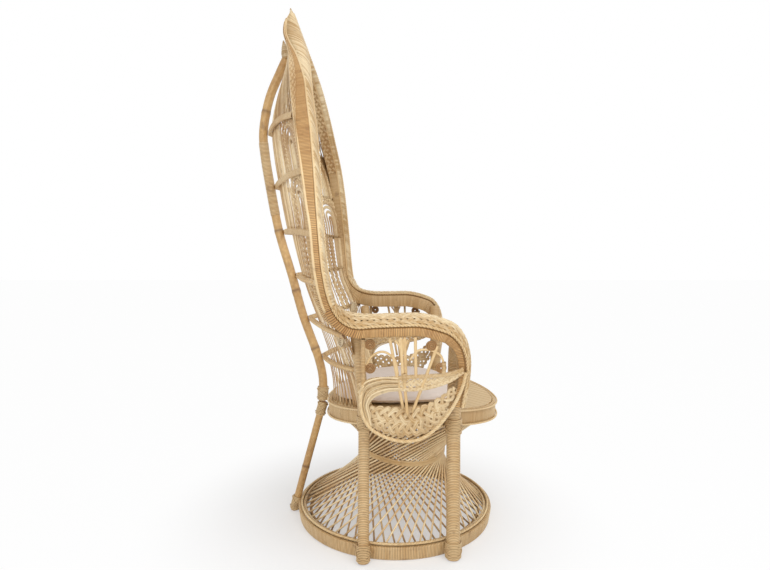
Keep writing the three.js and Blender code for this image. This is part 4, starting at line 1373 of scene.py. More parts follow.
    def fill(self, lace: Fibres, tier: Tier, number: int, side: float) -> None:
        """Adds the strands of the tier over a rib, on the sitter's left, 1, or right, -1."""
        for first, last, count in tier.canes:
            for turn in np.linspace(first, last, count):
                path, inward = self.upright(turn, number, side)
                lace.rings(path, facing(path, inward), strip(self.cane_width, self.cane_thickness))
        for turn in tier.braids:
            path, inward = self.upright(turn, number, side, 16)
            lace.plaited(path, inward, self.braid_width, self.braid)
        if tier.loops:
            self.loops(lace, tier.loops, number, side)

    def arch(self, low: float, high: float, half: float, top: float,
             bow: float) -> list[Pair]:
        """Returns an arch as turns from its middle and heights.

        Args:
            low: the height of the rib below.
            high: the height of the rib above.
            half: half the arch's width, as a turn.
            top: its top as a share of the way up.
            bow: its bow's height as the same share.
        """
        spring = mix(low, high, top - bow)
        rise = mix(low, high, top) - spring
        legs = [(-half, mix(low, spring, s)) for s in np.linspace(0, 1, 8)]
        angles = np.linspace(pi, 0, 16)[1:-1]
        round_top = [(half * cos(a), spring + rise * sin(a)) for a in angles]
        return legs + round_top + [(-t, z) for t, z in reversed(legs)]

    def loops(self, lace: Fibres, span: Pair, number: int, side: float) -> None:
        """Adds nested arches that stand on a rib, the outer ones plaited, from one turn to another."""
        depth = self.rib_thickness + self.lace_depth
        centre, half = (span[0] + span[1]) / 2, (span[1] - span[0]) / 2
        low, high = (self.rib_height_at(number + k, side * centre) for k in (0, 1))
        for nest, (scale, top) in enumerate(self.arch_steps):
            path = self.arch(low, high, half * scale, top, self.arch_bow_share * scale)
            inset = depth + self.arch_lift * nest
            spots = np.array([self.place(side * (centre + t), z, inset) for t, z in path])
            inward = np.array([self.inward(side * (centre + t), z) for t, z in path])
            if nest < self.plaited_arches:
                lace.plaited(spots, inward, self.cane_width * 2.4, self.arch_plait)
            else:
                section = strip(self.cane_width * 1.4, self.braid.thickness)
                lace.rings(spots, facing(spots, inward), section)

    def trellis(self, lace: Fibres, number: int, side: float) -> None:
        """Adds strands that cross one another from a rib up to the top of the back."""
        count, (first, last) = self.trellis_count, self.trellis_span
        inward = self.inward(side * 0.5, self.top - self.trellis_eye)
        for slope in (-1, 1):
            depth = self.rib_thickness + self.lace_depth + slope * self.reed
            for i in range(count + 2):
                path = []
                for share in np.linspace(0, 1, 14):
                    turn = 0.06 + (i - 0.5 + slope * share * self.trellis_slope) / count * 0.94
                    if first <= turn <= last:
                        ends = (self.rib_height_at(number + k, side * turn) for k in (0, 1))
                        path.append(self.place(side * turn, mix(*ends, share), depth))
                if len(path) > 3:
                    line = np.array(path)
                    lace.rings(line, facing(line, inward), strip(self.trellis_width, self.cane_thickness))


# Rim and arms


@dataclass(frozen=True)
class Section:
    """The rim's section at one place.

    Side sizes run outward and deep sizes inward from the crown.
    """

    inner: float
    inner_drop: float
    outer: float
    outer_drop: float
    rise: float
    weave: float
    outer_depth: float
    inner_depth: float

    def blended(self, other: "Section", share: float) -> "Section":
        """Returns a section between this one and another."""
        pairs = zip(vars(self).values(), vars(other).values())
        return Section(*(mix(a, b, share) for a, b in pairs))

    def top(self, share: float) -> list[float]:
        """Returns the side and deep place on the face, from its inner edge at 0 to its outer one."""
        deep = mix(self.inner_drop, self.outer_drop, share) - self.rise * 4 * share * (1 - share)
        return [mix(-self.inner, self.outer, share), deep]

    def lift(self, share: float) -> list[float]:
        """Returns the side and deep parts of the direction in which the face looks."""
        fall = self.outer_drop - self.inner_drop - self.rise * 4 * (1 - 2 * share)
        length = hypot(fall, self.inner + self.outer)
        return [fall / length, -(self.inner + self.outer) / length]

    def under(self, side: float) -> float:
        """Returns the depth of the weave's underside at a side place."""
        share = (side + self.inner) / (self.inner + self.outer)
        return mix(self.inner_drop, self.outer_drop, share) + self.weave


@dataclass
class Rim:
    """The crown line from the tip down the back, along the arm and down its front."""

    half_width: float = 0.465
    rake: float = 0.311
    height: float = 1.552
    arm_width: float = 0.33
    arm_reach: float = 0.178
    arm_height: float = 0.674
    band: float = 0.007
    clearance: float = 0.0008
    bead: float = 0.0042
    chevron_wave: float = 0.0006
    chevron_lap: float = 1.02
    chevron_thickness: float = 0.0042
    outer_start: float = 1.0
    inner_start: float = 2.0
    band_corner: float = 0.0022
    tip: Section = Section(0.002, 0.002, 0.004, 0.002, 0, 0.003, 0.002, 0.002)
    changes: tuple[tuple[Section, float, float], ...] = (
        (Section(0.026, 0.014, 0.028, 0.036, 0.025, 0.003, 0.006, 0.020), 0, 2.1),
        (Section(0.026, 0.014, 0.028, 0.008, 0.010, 0.003, 0.036, 0.030), 2, 4.8),
        (Section(0.026, 0.014, 0.028, 0.004, 0.009, 0.005, 0.017, 0.022), 5.8, 9),
        (Section(0.004, 0.006, 0.056, 0.024, 0.008, 0.009, 0.020, 0.040), 10.5, 12.5),
        (Section(0.008, 0.009, 0.026, 0.006, 0.005, 0.009, 0.014, 0.014), 17, 20),
    )
    back_shares: Triples = (
        (0.065, 0.952, 0.974), (0.183, 0.868, 0.928), (0.366, 0.781, 0.877), (0.57, 0.72, 0.822),
        (0.699, 0.678, 0.776), (0.817, 0.633, 0.727), (0.903, 0.598, 0.669), (0.978, 0.566, 0.595),
        (1, 0.55, 0.555), (0.978, 0.527, 0.501), (0.903, 0.489, 0.462),
    )
    arm_shares: Triples = (
        (1.136, -0.702, 1.016), (1.045, -0.449, 1), (1.006, 0, 1), (1, 0.337, 1), (1, 0.64, 0.982),
        (1.005, 0.848, 0.957), (1.012, 0.983, 0.908), (1.012, 1.045, 0.84), (0.988, 1.04, 0.75),
        (0.975, 0.983, 0.64),
    )

    def __post_init__(self) -> None:
        """Works out the crown line once."""
        places = [[self.tip.inner, self.rake, self.height]]
        places += [[w * self.half_width, d * self.rake, h * self.height] for w, d, h in self.back_shares]
        places += [[w * self.arm_width, -d * self.arm_reach, h * self.arm_height]
                   for w, d, h in self.arm_shares]
        self.curve = Curve(np.array(places) + np.array([0, SHIFT, 0]))
        self.corner = len(self.back_shares)
        self.end = self.corner + len(self.arm_shares)

    def section(self, index: float) -> Section:
        """Returns the section at an index along the crown line."""
        section = self.tip
        for other, start, end in self.changes:
            section = section.blended(other, smooth(start, end, index))
        return replace(section, inner=min(section.inner, self.curve.at(index)[0] - TOUCH / 2))

    def stations(self, start: float,
                 end: float) -> tuple[Array, Array, Array, list[Section]]:
        """Returns places, side and deep directions and sections along the crown line."""
        indices = np.linspace(start, end, int((end - start) * 14) + 2)
        places = np.array([self.curve.at(i) for i in indices])
        before = np.array([self.curve.at(max(i - 0.05, 0)) for i in indices])
        after = np.array([self.curve.at(min(i + 0.05, self.end)) for i in indices])
        ahead = unit(after - before)
        side = unit(SIDEWAYS - ahead * ahead[:, :1])
        return places, side, np.cross(side, ahead), [self.section(i) for i in indices]

    def along(self, start: float, end: float, spot: Callable[[Section], Sequence[float]]) -> Array:
        """Returns a line beside the crown line, at the side and deep place given for each section."""
        places, side, deep, sections = self.stations(start, end)
        spots = np.array([spot(section) for section in sections])
        return places + side * spots[:, :1] + deep * spots[:, 1:]

    def core(self, seed: int, name: str, node: str, start: float, end: float, shade: float) -> None:
        """Makes the plain core under the weave on both sides, darkened all over with painted shade, like a
        groove.
        """
        core = Fibres(seed)
        places, side, _, sections = self.stations(start, end)
        # Painted shade: the whole core gets the given groove value, so it shows dark between the strands
        # over it.
        core.rings(places, side, np.array([self.core_outline(s) for s in sections]), PLAIN_TONE, shade)
        pair(name, core, CORE, [node])

    def bands(self, seed: int, name: str, outer_start: float, inner_start: float, end: float,
              outer_pitch: float = 0.0036) -> None:
        """Makes the outer and the inner wrapped band on both sides.

        Args:
            seed: starts the outer band's run of tones.
            name: the first word of the pieces' and their nodes' names.
            outer_start: the outer band's first index.
            inner_start: the inner band's first index.
            end: the last index.
            outer_pitch: the width of one turn of cane on the outer band.
        """
        kinds = (
            ("outer", outer_start, self.outer_band, outer_pitch, BAND),
            ("inner", inner_start, self.inner_band, 0.0036, PEELED),
        )
        for number, (kind, start, outline, pitch, finish) in enumerate(kinds):
            band = Fibres(seed + number)
            places, side, _, sections = self.stations(start, end)
            band.wound(places, side, np.array([outline(section) for section in sections]), pitch)
            pair(f"{name}_{kind}_wrap", band, finish, [f"{name}_{kind}_band"])

    def band_outline(self, section: Section, low: float, high: float, depth: float) -> Array:
        """Returns the section of a wrapped band below the weave."""
        corners = [
            [low, section.under(low) + self.clearance], [high, section.under(high) + self.clearance],
            [high, section.under(high) + depth], [low, section.under(high) + depth],
        ]
        return rounded(corners, min(self.band_corner, depth * 0.3))

    def outer_band(self, section: Section) -> Array:
        """Returns the section of the outer wrapped band."""
        return self.band_outline(section, section.outer - self.band, section.outer, section.outer_depth)

    def inner_band(self, section: Section) -> Array:
        """Returns the section of the inner wrapped band."""
        return self.band_outline(section, -section.inner, self.band - section.inner, section.inner_depth)

    def core_outline(self, section: Section) -> Array:
        """Returns the section of the plain core under the weave."""
        top = [section.top(share) for share in (0.04, 0.25, 0.5, 0.75, 0.96)]
        top = [[side, deep + section.weave / 3] for side, deep in top]
        ends = (mix(-section.inner, section.outer, share) for share in (0.96, 0.04))
        return np.array(top + [[side, section.under(side)] for side in ends])

    def chevrons(self, fibres: Fibres, start: float, end: float, spacing: float, point: float) -> None:
        """Adds strips that cross the face in a row of points, one tucked under the next.

        Args:
            fibres: takes the strips.
            start: the first index.
            end: the last index.
            spacing: the distance from one strip to the next.
            point: how far a strip's middle runs ahead of its ends.
        """
        indices = np.linspace(start, end, 400)
        run = run_of(np.array([self.curve.at(i) for i in indices]))
        for place in np.arange(0, run[-1] - point, spacing):
            path, lift = [], []
            for share in np.linspace(0.02, 0.98, 9):
                ahead = place + point * (1 - abs(2 * share - 1))
                index = float(np.interp(ahead, run, indices))
                centre, side, deep, sections = self.stations(index, index + 0.01)
                s, d = sections[0].top(share)
                path.append(centre[0] + side[0] * s + deep[0] * d)
                lift.append(-deep[0])
            line, lift = np.array(path), np.array(lift)
            wave = np.sin(np.linspace(0, pi * 2, 9)) * self.chevron_wave
            section = strip(spacing * self.chevron_lap, self.chevron_thickness)
            fibres.rings(line + lift * wave[:, None], facing(line, lift), section)


@dataclass
class Back:
    """The rim round the woven back: braided face, wrapped bands and edge beads."""

    rim: Rim
    chevron_spacing: float = 0.008
    chevron_point: float = 0.02
    core_shade: float = 0.15
    bead_lay: float = 0.016
    edge_reed: float = 0.0032
    edge_step: float = 0.012
    edge_inset: float = 0.002
    flank_fade: tuple[float, float, float] = (1.3, 3.2, 7.6)
    flank_share: float = 0.3
    flank_rows: Pair = (0.5, 1.35)
    flank_lift: float = 0.0014
    flank_plait: Plait = Plait(0.03, 0.0022, 2)
    inner_end: float = 6.0
    inner_share: float = 0.62
    inner_rows: Pair = (0.27, 0.73)
    inner_lift: float = 0.0016
    inner_plait: Plait = Plait(0.03, 0.0024, 2)

    def build(self) -> None:
        """Makes the pieces of the rim above the arms."""
        rim = self.rim
        rim.core(71, "rim_core", "rim_braid", 0, rim.corner, self.core_shade)
        braid = Fibres(72)
        rim.chevrons(braid, 0.05, rim.corner + 0.45, self.chevron_spacing, self.chevron_point)
        pair("rim_herringbone", braid, REED)
        rim.bands(73, "rim", rim.outer_start, rim.inner_start, rim.corner)
        self.inner_plaits()
        self.flank_plaits()
        self.edges()

    def edges(self) -> None:
        """Makes the twist along the crown and the reeds along the edges."""
        rim, inset = self.rim, self.edge_inset
        beads = Fibres(75)
        crown = rim.along(0.4, rim.corner, lambda s: [-s.inner * 0.3, -inset / 2])
        beads.twisted(crown, rim.bead, self.bead_lay)
        spots = (
            (0.2, lambda s: [s.outer - inset, s.outer_drop + s.weave / 3]),
            (1.1, lambda s: [s.outer - inset / 2, s.outer_drop + s.weave + s.outer_depth - inset]),
            (0.2, lambda s: [inset - s.inner, s.inner_drop + s.weave / 3]),
        )
        for start, spot in spots:
            beads.rod(evenly(rim.along(start, rim.corner, spot), self.edge_step), self.edge_reed, 8)
        pair("rim_edge_reeds", beads, BEAD)

    def flank_plaits(self) -> None:
        """Makes the pale plaits over the rear of the outer band, up in the crest."""
        plaits = Fibres(77)
        first, taper, last = self.flank_fade
        _, side, _, sections = self.rim.stations(first, last)
        fades = [1 - smooth(taper, last, index) for index in np.linspace(first, last, len(sections))]
        width = np.array([s.outer_depth * self.flank_share * fade for s, fade in zip(sections, fades)])
        rear = self.rim.along(first, last, lambda s: [s.outer, s.under(s.outer) + s.outer_depth])
        deep = np.cross(side, heading(rear))
        for row in self.flank_rows:
            line = rear - deep * (width * row)[:, None] + side * self.flank_lift
            plaits.plaited(line, side, width, self.flank_plait)
        pair("rim_flank_plaits", plaits, LACE)

    def inner_plaits(self) -> None:
        """Makes the pale plaits that cover the inner band down to where it thins."""
        plaits = Fibres(76)
        span = (self.rim.inner_start, self.inner_end)
        _, side, _, sections = self.rim.stations(*span)
        width = np.array([section.inner_depth * self.inner_share for section in sections])
        for row in self.inner_rows:
            line = self.rim.along(*span, lambda s: [-s.inner, s.under(-s.inner) + s.inner_depth * row])
            plaits.plaited(line - side * self.inner_lift, -side, width, self.inner_plait)
        pair("rim_inner_plaits", plaits, LACE)


@dataclass
class Screen:
    """The basket work at an arm's side: spokes, coils, arches, a loop and a lattice."""

    rim: Rim
    top_width: float = 0.3825
    foot_width: float = 0.328
    foot_height: float = 0.342
    top_height: float = 0.6202
    cane: float = 0.004
    loop_radius: float = 0.005
    arch_width: float = 0.009
    arch_thickness: float = 0.006
    disc_radius: float = 0.014
    arc_radius: float = 0.0026
    stile: Pair = (0.010, 0.008)
    knot_radius: float = 0.0064
    arch_core: float = 0.003
    arch_lift: float = 0.0022
    arch_plait: Plait = Plait(0.017, 0.0019)
    lens_lap: float = 0.004
    lens_plait: Plait = Plait(0.055, 0.0022, 3, 0.26)
    disc_cord: float = 0.0021
    loop_lay: float = 0.021
    bundle_count: int = 11
    bundle_out: float = 0.004
    bundle_swing: float = 0.0035
    bundle_strip: Pair = (0.0042, 0.0026)
    bundle_shares: tuple[tuple[float, float, float, float], ...] = (
        (-0.36, -0.37, 0.602, 0.622), (-0.49, -0.385, 0.66, 0.668), (-0.53, -0.41, 0.735, 0.705),
        (-0.47, -0.33, 0.80, 0.742), (-0.25, -0.12, 0.826, 0.768), (0.02, 0.02, 0.825, 0.772),
    )
    lattice_inset: float = 0.0072
    lattice_plait: Plait = Plait(0.062, 0.0024, 4, 0.3)
    lattice_span_shares: Pair = (-0.4, 0.84)
    lattice_share: float = 0.37
    lattice_rows: Pairs = ((0.2, 0.72), (0.46, 0.86))
    loop_shares: Pairs = (
        (-0.479, 0.8), (-0.515, 0.73), (-0.49, 0.668), (-0.385, 0.61), (-0.169, 0.569), (0.093, 0.549),
        (0.339, 0.56), (0.553, 0.605), (0.72, 0.668), (0.854, 0.739), (0.93, 0.8), (0.96, 0.85),
    )
    arch_shares: Lines = (
        ((-0.493, 0.8), (-0.351, 0.817), (-0.098, 0.823), (0.183, 0.83), (0.463, 0.834), (0.743, 0.843),
         (0.93, 0.862)),
        ((-0.482, 0.721), (-0.381, 0.756), (-0.211, 0.774), (-0.013, 0.778), (0.213, 0.776), (0.467, 0.786),
         (0.747, 0.815), (0.93, 0.852)),
    )
    spoke_shares: Lines = (
        ((-0.107, 0.998), (0.088, 0.695)), ((0.046, 0.998), (0.084, 0.826)),
        ((0.101, 0.998), (0.126, 0.826)), ((0.098, 0.83), (0.154, 0.662)),
        ((0.25, 0.998), (0.267, 0.826)), ((0.56, 0.962), (0.225, 0.677)),
    )
    fan_shares: Lines = (
        ((0.068, 0.925), (0.03, 0.96), (-0.03, 0.985)), ((0.07, 0.925), (0.055, 0.96), (0.02, 0.99)),
        ((0.085, 0.925), (0.11, 0.96), (0.15, 0.985)), ((0.083, 0.925), (0.085, 0.96), (0.08, 0.99)),
    )
    stile_shares: Lines = (
        ((-0.47, 0.99), (-0.482, 0.721)), ((0.654, 0.894), (0.654, 0.838)),
    )
    knot_shares: Pairs = ((0.1, 0.846), (0.112, 0.812))
    arc_shares: Lines = (
        ((-0.434, 0.877), (-0.349, 0.919), (-0.196, 0.937), (-0.043, 0.907), (0.014, 0.84)),
        ((0.18, 0.903), (0.289, 0.941), (0.455, 0.944), (0.596, 0.924), (0.654, 0.89)),
    )
    disc_shares: Pairs = (
        (-0.376, 0.967), (-0.378, 0.867), (0.473, 0.962), (0.615, 0.869),
    )

    def place(self, shares: Sequence[float], inset: float = 0.0) -> Array:
        """Returns a point of the screen at shares of the arm's reach and of the screen's height."""
        height = shares[1] * self.top_height
        climb = (height - self.foot_height) / (self.top_height - self.foot_height)
        width = mix(self.foot_width, self.top_width, climb)
        return np.array([width - inset, -shares[0] * self.rim.arm_reach + SHIFT, height])

    def facing(self) -> Array:
        """Returns the direction that the screen faces."""
        lean = atan2(self.top_width - self.foot_width, self.top_height - self.foot_height)
        return np.array([cos(lean), 0, -sin(lean)])

    def line(self, places: Places, inset: float = 0.0, count: int = 40) -> Array:
        """Returns a smooth line through places of the screen."""
        return Curve([self.place(shares, inset) for shares in places]).spread(count)

    def build(self) -> None:
        """Makes the pieces of both screens."""
        out = self.facing()
        canes = Fibres(81)
        for ends in self.spoke_shares:
            line = np.linspace(self.place(ends[0]), self.place(ends[1]), 12)
            canes.rings(line, facing(line, out), strip(self.cane * 1.9, self.cane * 1.4))
        for places in self.arc_shares + self.fan_shares:
            line = self.line(places, count=24)
            canes.rings(line, facing(line, out), strip(self.arc_radius * 2.1, self.arc_radius * 1.6))
        for ends in self.stile_shares:
            line = np.linspace(self.place(ends[0]), self.place(ends[1]), 20)
            canes.wound(line, facing(line, out), strip(*self.stile))
        knot = np.linspace(*(self.place(shares) for shares in self.knot_shares), 8)
        canes.wound(knot, facing(knot, out), circle(self.knot_radius, 12))
        pair("arm_canes", canes, PEELED, ["arm_screen"])
        self.arches(out)
        self.coils(out)
        self.loop(out)
        self.lattice(out)

    def arches(self, out: Array) -> None:
        """Makes the two plaited arches that part and meet again over the lattice."""
        arches = Fibres(84)
        for places in self.arch_shares:
            line = self.line(places, count=60)
            # Painted shade: the core strip under the plaits gets groove 0.6, so it shows dark between them.
            arches.rings(line, facing(line, out), strip(self.arch_width * 0.7, self.arch_core), 0.8, 0.6)
            for face in (1, -1):
                arches.plaited(line + out * self.arch_lift * face, out * face, self.arch_width * 1.1,
                               self.arch_plait)
        upper, lower = (self.line(places, count=60) for places in self.arch_shares)
        gap = np.linalg.norm(upper - lower, axis=1)
        for share in (0.3, 0.7):
            arches.plaited(mix(lower, upper, share), out, gap * 0.72 + self.lens_lap, self.lens_plait)
        pair("arm_plaited_arches", arches, REED)

    def coils(self, out: Array) -> None:
        """Makes the brown coils of cane between the spokes and the stiles."""
        for side, sign in SIGNS.items():
            mirror = np.array([sign, 1.0, 1.0])
            rings = []
            for shares in self.disc_shares:
                rings += coil(self.place(shares) * mirror, out * mirror, self.disc_radius, self.disc_cord)
            joined(f"arm_coils_{side.value}", rings, COIL)

    def loop(self, out: Array) -> None:
        """Makes the twisted loop under the lattice and the bundle at its rear."""
        loop = Fibres(82)
        outset = self.arch_thickness / 2 + self.loop_radius + TOUCH
        line = self.line(self.loop_shares, -outset, 90)
        loop.twisted(line, self.loop_radius, self.loop_lay, 3)
        pair("arm_loop_twist", loop, BEAD, ["arm_loop"])
        self.bundle(out)

    def bundle(self, out: Array) -> None:
        """Makes the bundle that climbs the loop's rear and fans out into the arches."""
        bundle = Fibres(85)
        for k in range(self.bundle_count):
            share = k / (self.bundle_count - 1)
            places = [(mix(a, b, share), mix(c, d, share)) for a, b, c, d in self.bundle_shares]
            line = self.line(places, -self.bundle_out + self.bundle_swing * sin(k * 2.1), 40)
            bundle.rings(line, facing(line, out), strip(*self.bundle_strip))
        pair("arm_reed_bundle", bundle, REED)

    def lattice(self, out: Array) -> None:
        """Makes the wide wavy bundles of reed between the arches and the loop."""
        waves = Fibres(83)
        lows, highs = self.loop_shares[3:], self.arch_shares[1]
        forward = np.linspace(*self.lattice_span_shares, 60)
        low = np.interp(forward, [p[0] for p in lows], [p[1] for p in lows])
        high = np.interp(forward, [p[0] for p in highs], [p[1] for p in highs])
        for amount, last in self.lattice_rows:
            height = mix(low, high, amount)
            kept = forward < last
            spots = zip(forward[kept], height[kept])
            line = np.array([self.place(spot, self.lattice_inset) for spot in spots])
            width = (high - low)[kept] * self.top_height * self.lattice_share
            waves.plaited(line, out, width, self.lattice_plait)
        pair("arm_wave_lattice", waves, REED, ["arm_lattice"])


@dataclass
class Arms:
    """The woven armrests with their wrapped bands and edge beads."""

    rim: Rim
    rows: int = 4
    row_lap: float = 1.25
    row_lift: float = 0.0012
    row_plait: Plait = Plait(0.05, 0.003, 2)
    core_shade: float = 0.6
    outer_pitch: float = 0.0046
    edge_inset: float = 0.001
    edge_drop: float = 0.002
    edge_lay: float = 0.018

    def build(self) -> None:
        """Makes the pieces of both arms."""
        rim = self.rim
        rim.core(91, "arm_core", "armrest", rim.corner, rim.end, self.core_shade)
        rows = Fibres(92)
        _, side, deep, sections = rim.stations(rim.corner, rim.end)
        width = np.array([(s.inner + s.outer) / self.rows * self.row_lap for s in sections])
        for row in range(self.rows):
            share = (row + 0.5) / self.rows
            line = rim.along(rim.corner, rim.end, lambda s: s.top(share))
            lifts = np.array([section.lift(share) for section in sections])
            face = side * lifts[:, :1] + deep * lifts[:, 1:]
            rows.plaited(line + face * self.row_lift, face, width, self.row_plait)
        pair("arm_plaited_rows", rows, REED)
        rim.bands(93, "arm", rim.corner, rim.corner, rim.end, self.outer_pitch)
        beads = Fibres(95)
        inset, drop = self.edge_inset, self.edge_drop
        spots = (
            lambda s: [s.outer - inset, s.outer_drop + drop],
            lambda s: [inset - s.inner, s.inner_drop + drop],
        )
        for spot in spots:
            beads.twisted(rim.along(rim.corner, rim.end, spot), rim.bead, self.edge_lay)
        pair("arm_edge_twist", beads, BEAD)


# Pad


@dataclass
class Pad:
    """The loose round seat pad: a filled cotton cover with a corded seam."""

    seat: Seat
    radius: float = 0.2
    forward: float = 0.016
    thickness: float = 0.04
    crown: float = 0.008
    voxel: float = 0.006
    pressure: float = 3.0
    steps: int = 15
    bed: float = 0.0009
    ripple: float = 0.0012
    ripples: int = 23
    cord: float = 0.0022
    cord_inset: float = 0.0005
    cord_share: float = 0.42

    def build(self) -> None:
        """Makes the pad, lets its cover settle and adds the seam."""
        deselect()
        bpy.ops.mesh.primitive_cylinder_add(vertices=64, radius=self.radius, depth=self.thickness,
                                            location=(0, SHIFT - self.forward, 0))
        pad = bpy.context.active_object
        pad.name = "seat_pad"
        bpy.ops.object.transform_apply(location=True, rotation=True, scale=True)
        self.shape(pad)
        self.fill(pad)
        self.bend(pad)
        coat(pad, cotton_material())
        deselect()
        settle(pad, ["seat_cushion"], "cushion")
        self.seam()

    def shape(self, pad: Thing) -> None:
        """Rounds the pad's edge and gives it a fine, even mesh."""
        bevel = pad.modifiers.new("round_edge", "BEVEL")
        bevel.width = self.thickness * 0.4
        bevel.segments = 5
        remesh = pad.modifiers.new("even_mesh", "REMESH")
        remesh.mode = "VOXEL"
        remesh.voxel_size = self.voxel
        for name in ("round_edge", "even_mesh"):
            bpy.context.view_layer.objects.active = pad
            bpy.ops.object.modifier_apply(modifier=name)

    def fill(self, pad: Thing) -> None:
        before = spots_of(pad.data)
        cloth = pad.modifiers.new("filling", "CLOTH")
        cloth.settings.use_pressure = True
        cloth.settings.uniform_pressure_force = self.pressure
        cloth.settings.effector_weights.gravity = 0
        cloth.settings.quality = 4
        scene = bpy.context.scene
        for step in range(1, self.steps + 1):
            scene.frame_set(step)
        bpy.context.view_layer.objects.active = pad
        bpy.ops.object.modifier_apply(modifier="filling")
        scene.frame_set(1)
        moved = spots_of(pad.data) - before
        length = np.linalg.norm(moved, axis=1, keepdims=True)
        moved *= np.minimum(1.0, self.crown / np.maximum(length, 1e-9))
        move(pad.data, before + moved)

    def bend(self, pad: Thing) -> None:
        """Lays the pad on the seat: its sides follow the raised edge and its foot lies flat."""
        places = spots_of(pad.data)
        centre = np.array([0, SHIFT - self.forward])
        reach = np.linalg.norm(places[:, :2] - centre, axis=1) / self.radius
        low, high = places[:, 2].min(), places[:, 2].max()
        share = (places[:, 2] - low) / (high - low)
        rest = np.array([self.seat.top_at(x, y) for x, y in places[:, :2]]) + self.bed
        tall = self.thickness * (1 - 0.25 * np.minimum(reach, 1.0) ** 4) + self.crown * (1 - reach ** 2)
        turn = np.arctan2(places[:, 0], places[:, 1] - centre[1])
        ripple = self.ripple * np.sin(turn * self.ripples) * reach ** 6
        places[:, 2] = rest + share * tall + ripple * share
        move(pad.data, places)
        deselect()
        pad.select_set(True)
        bpy.context.view_layer.objects.active = pad
        bpy.ops.object.shade_smooth()

    def seam(self) -> None:
        """Makes the corded seam round the pad's waist."""
        turn = np.linspace(0, 2 * pi, 140, endpoint=False)
        x = (self.radius - self.cord_inset) * np.sin(turn)
        y = (self.radius - self.cord_inset) * np.cos(turn) + SHIFT - self.forward
        z = np.array([self.seat.top_at(a, b) for a, b in zip(x, y)]) + self.thickness * self.cord_share
        cord = Fibres(101)
        cord.rod(np.stack([x, y, z], axis=1), self.cord, 8, closed=True, hint=UP)
        piece = cord.piece("pad_seam", PEELED)
        coat(piece, cotton_material())
        settle(piece, body="cushion")


def cotton_material(threads: float = 4200.0) -> Material:
    """Returns a plain off-white cotton with a fine weave and soft stains."""
    name = "offwhite_cotton"
    if name in bpy.data.materials:
        return bpy.data.materials[name]
    material, nodes, shader = new_material(name, 0.92)
    soft = nodes.clouds(14.0, 4.0)
    tint = nodes.blend(soft, colour(236, 224, 214), colour(220, 203, 190))
    height = nodes.maths("ADD", nodes.maths("MULTIPLY", nodes.weave(threads), 0.3), soft)
    bump = nodes.add("ShaderNodeBump", Strength=0.35, Distance=0.001, Height=height)
    nodes.feed(shader.inputs["Base Color"], tint)
    nodes.feed(shader.inputs["Normal"], bump.outputs["Normal"])
    shader.inputs["Sheen Weight"].default_value = 0.25
    return material


# Studio


def shows_white(nodes: Nodes) -> Socket:
    """Returns 1 for rays that see the white: straight, off gloss or through glass."""
    rays = nodes.add("ShaderNodeLightPath").outputs
    seen = rays["Is Camera Ray"]
    for kind in ("Is Glossy Ray", "Is Transmission Ray"):
        seen = nodes.maths("MAXIMUM", seen, rays[kind])
    return seen


@dataclass(frozen=True)
class Lamp:
    """A soft square lamp, with its turns in degrees and its power in watts."""

    name: str
    place: tuple[float, float, float]
    tilt: float
    spin: float
    power: float
    size: float


KEY = Lamp("key_lamp", (-1.6, -1.4, 2.6), 42, -48, 26, 1.8)
FILL = Lamp("fill_lamp", (-2.6, 0.6, 1.3), 72, -103, 20, 1.6)


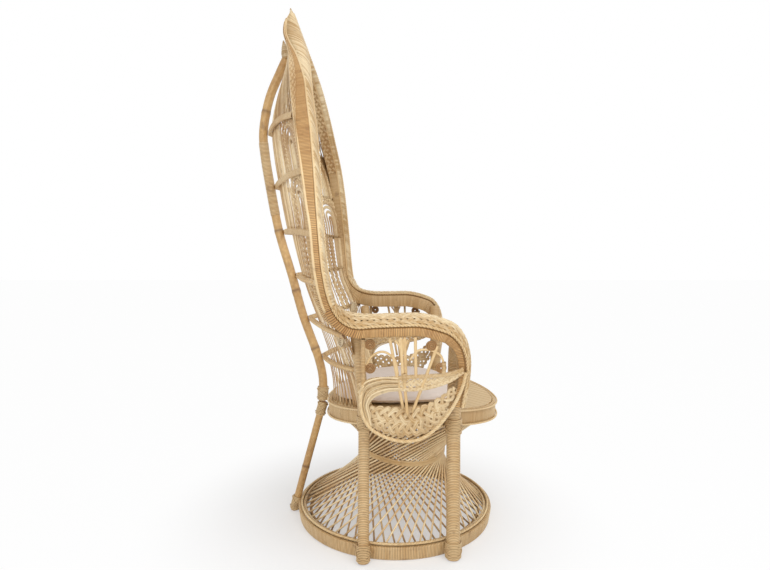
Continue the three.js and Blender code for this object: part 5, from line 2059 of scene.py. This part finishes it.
@dataclass
class Studio:
    """The pale floor, the soft lights and the camera at the photograph's angle."""

    camera_place: tuple[float, float, float] = (-1.7554, 0.030, 0.8433)
    pitch: float = 0.07
    lens: float = 26.39
    sensor: float = 36.0
    whiteness: float = 0.95
    shadow_whiteness: float = 0.35
    shadow_reach: Pair = (0.25, 0.75)
    floor_size: float = 24.0
    floor_drop: float = 0.0005
    floor_grey: float = 0.9
    world_light: float = 0.7
    far_clip: float = 60.0

    def build(self) -> None:
        """Makes the floor, the world, the lamps and the camera."""
        bpy.context.scene.view_settings.view_transform = "Standard"
        self.floor()
        self.world()
        self.lamps()
        self.camera()

    def floor(self) -> None:
        """Makes the floor."""
        deselect()
        bpy.ops.mesh.primitive_plane_add(size=self.floor_size, location=(0, 0, -self.floor_drop))
        plane = bpy.context.active_object
        plane.name = "floor"
        bpy.ops.object.transform_apply(location=True, rotation=True, scale=True)
        plane.data.materials.append(self.floor_material())

    def floor_material(self) -> Material:
        """Returns a pale floor that shows white away from the chair and less near it, so that near the
        chair it shows its real shadow and a painted darker pool.
        """
        material, nodes, shader = new_material("pale_floor", 0.8)
        shader.inputs["Base Color"].default_value = (*[self.floor_grey] * 3, 1)
        white = nodes.add("ShaderNodeEmission", Color=(1, 1, 1, 1), Strength=1.0)
        seen = shows_white(nodes)
        spot = nodes.add("ShaderNodeTexCoord").outputs["Object"]
        away = nodes.add("ShaderNodeVectorMath", {"operation": "LENGTH"})
        nodes.feed(away.inputs[0], spot)
        # Painted shade: the white fades towards the chair, so the floor there turns darker even where no
        # shadow falls, besides showing its real shadow.
        near, far = self.shadow_reach
        spread = nodes.add("ShaderNodeMapRange", {"interpolation_type": "SMOOTHSTEP"},
                           Value=away.outputs["Value"], From_Min=near, From_Max=far,
                           To_Min=self.shadow_whiteness, To_Max=self.whiteness)
        share = nodes.maths("MULTIPLY", seen, spread.outputs["Result"])
        mixed = nodes.add("ShaderNodeMixShader")
        nodes.feed(mixed.inputs[0], share)
        nodes.feed(mixed.inputs[1], shader.outputs["BSDF"])
        nodes.feed(mixed.inputs[2], white.outputs["Emission"])
        surface = material.node_tree.nodes["Material Output"].inputs["Surface"]
        nodes.feed(surface, mixed.outputs["Shader"])
        return material

    def world(self) -> None:
        """Lights the room evenly and shows white to the camera."""
        world = bpy.data.worlds.new("studio")
        bpy.context.scene.world = world
        world.use_nodes = True
        nodes = Nodes(world.node_tree)
        background = world.node_tree.nodes["Background"]
        background.inputs["Color"].default_value = (1, 1, 1, 1)
        seen = shows_white(nodes)
        extra = nodes.maths("MULTIPLY", seen, 1 - self.world_light)
        nodes.feed(background.inputs["Strength"], nodes.maths("ADD", extra, self.world_light))

    def lamps(self) -> None:
        """Makes the key lamp above and the fill beside the camera."""
        for lamp in (KEY, FILL):
            tilt, spin = (radians(angle) for angle in (lamp.tilt, lamp.spin))
            bpy.ops.object.light_add(type="AREA", location=lamp.place, rotation=(tilt, 0, spin))
            made = bpy.context.active_object
            made.name = lamp.name
            made.data.energy = lamp.power
            made.data.size = lamp.size

    def camera(self) -> None:
        """Makes the camera."""
        x, y, z = self.camera_place
        bpy.ops.object.camera_add(location=(x, y + SHIFT, z), rotation=(pi / 2 - self.pitch, 0, -pi / 2))
        camera = bpy.context.active_object
        camera.data.lens = self.lens
        camera.data.sensor_width = self.sensor
        camera.data.sensor_fit = "HORIZONTAL"
        camera.data.clip_end = self.far_clip
        bpy.context.scene.camera = camera


def main() -> None:
    """Builds the studio and the chair's pieces in order."""
    logging.basicConfig(level=logging.INFO, format="%(message)s")
    Studio().build()
    base, seat = BaseRing(), Seat()
    base.build()
    seat.build()
    Hourglass(base, seat).build()
    for leg in (Leg("front", radius=0.019, forward=0.154, top_width=0.307, lean=0.0),
                Leg("rear", radius=0.0155, forward=-0.088, top_width=0.31, lean=0.017)):
        leg.build(base, seat)
    spine = Spine(base, seat)
    spine.build()
    WovenBack(seat, spine).build()
    rim = Rim()
    Back(rim).build()
    Arms(rim).build()
    Screen(rim).build()
    Pad(seat).build()


if __name__ == "__main__":
    main()
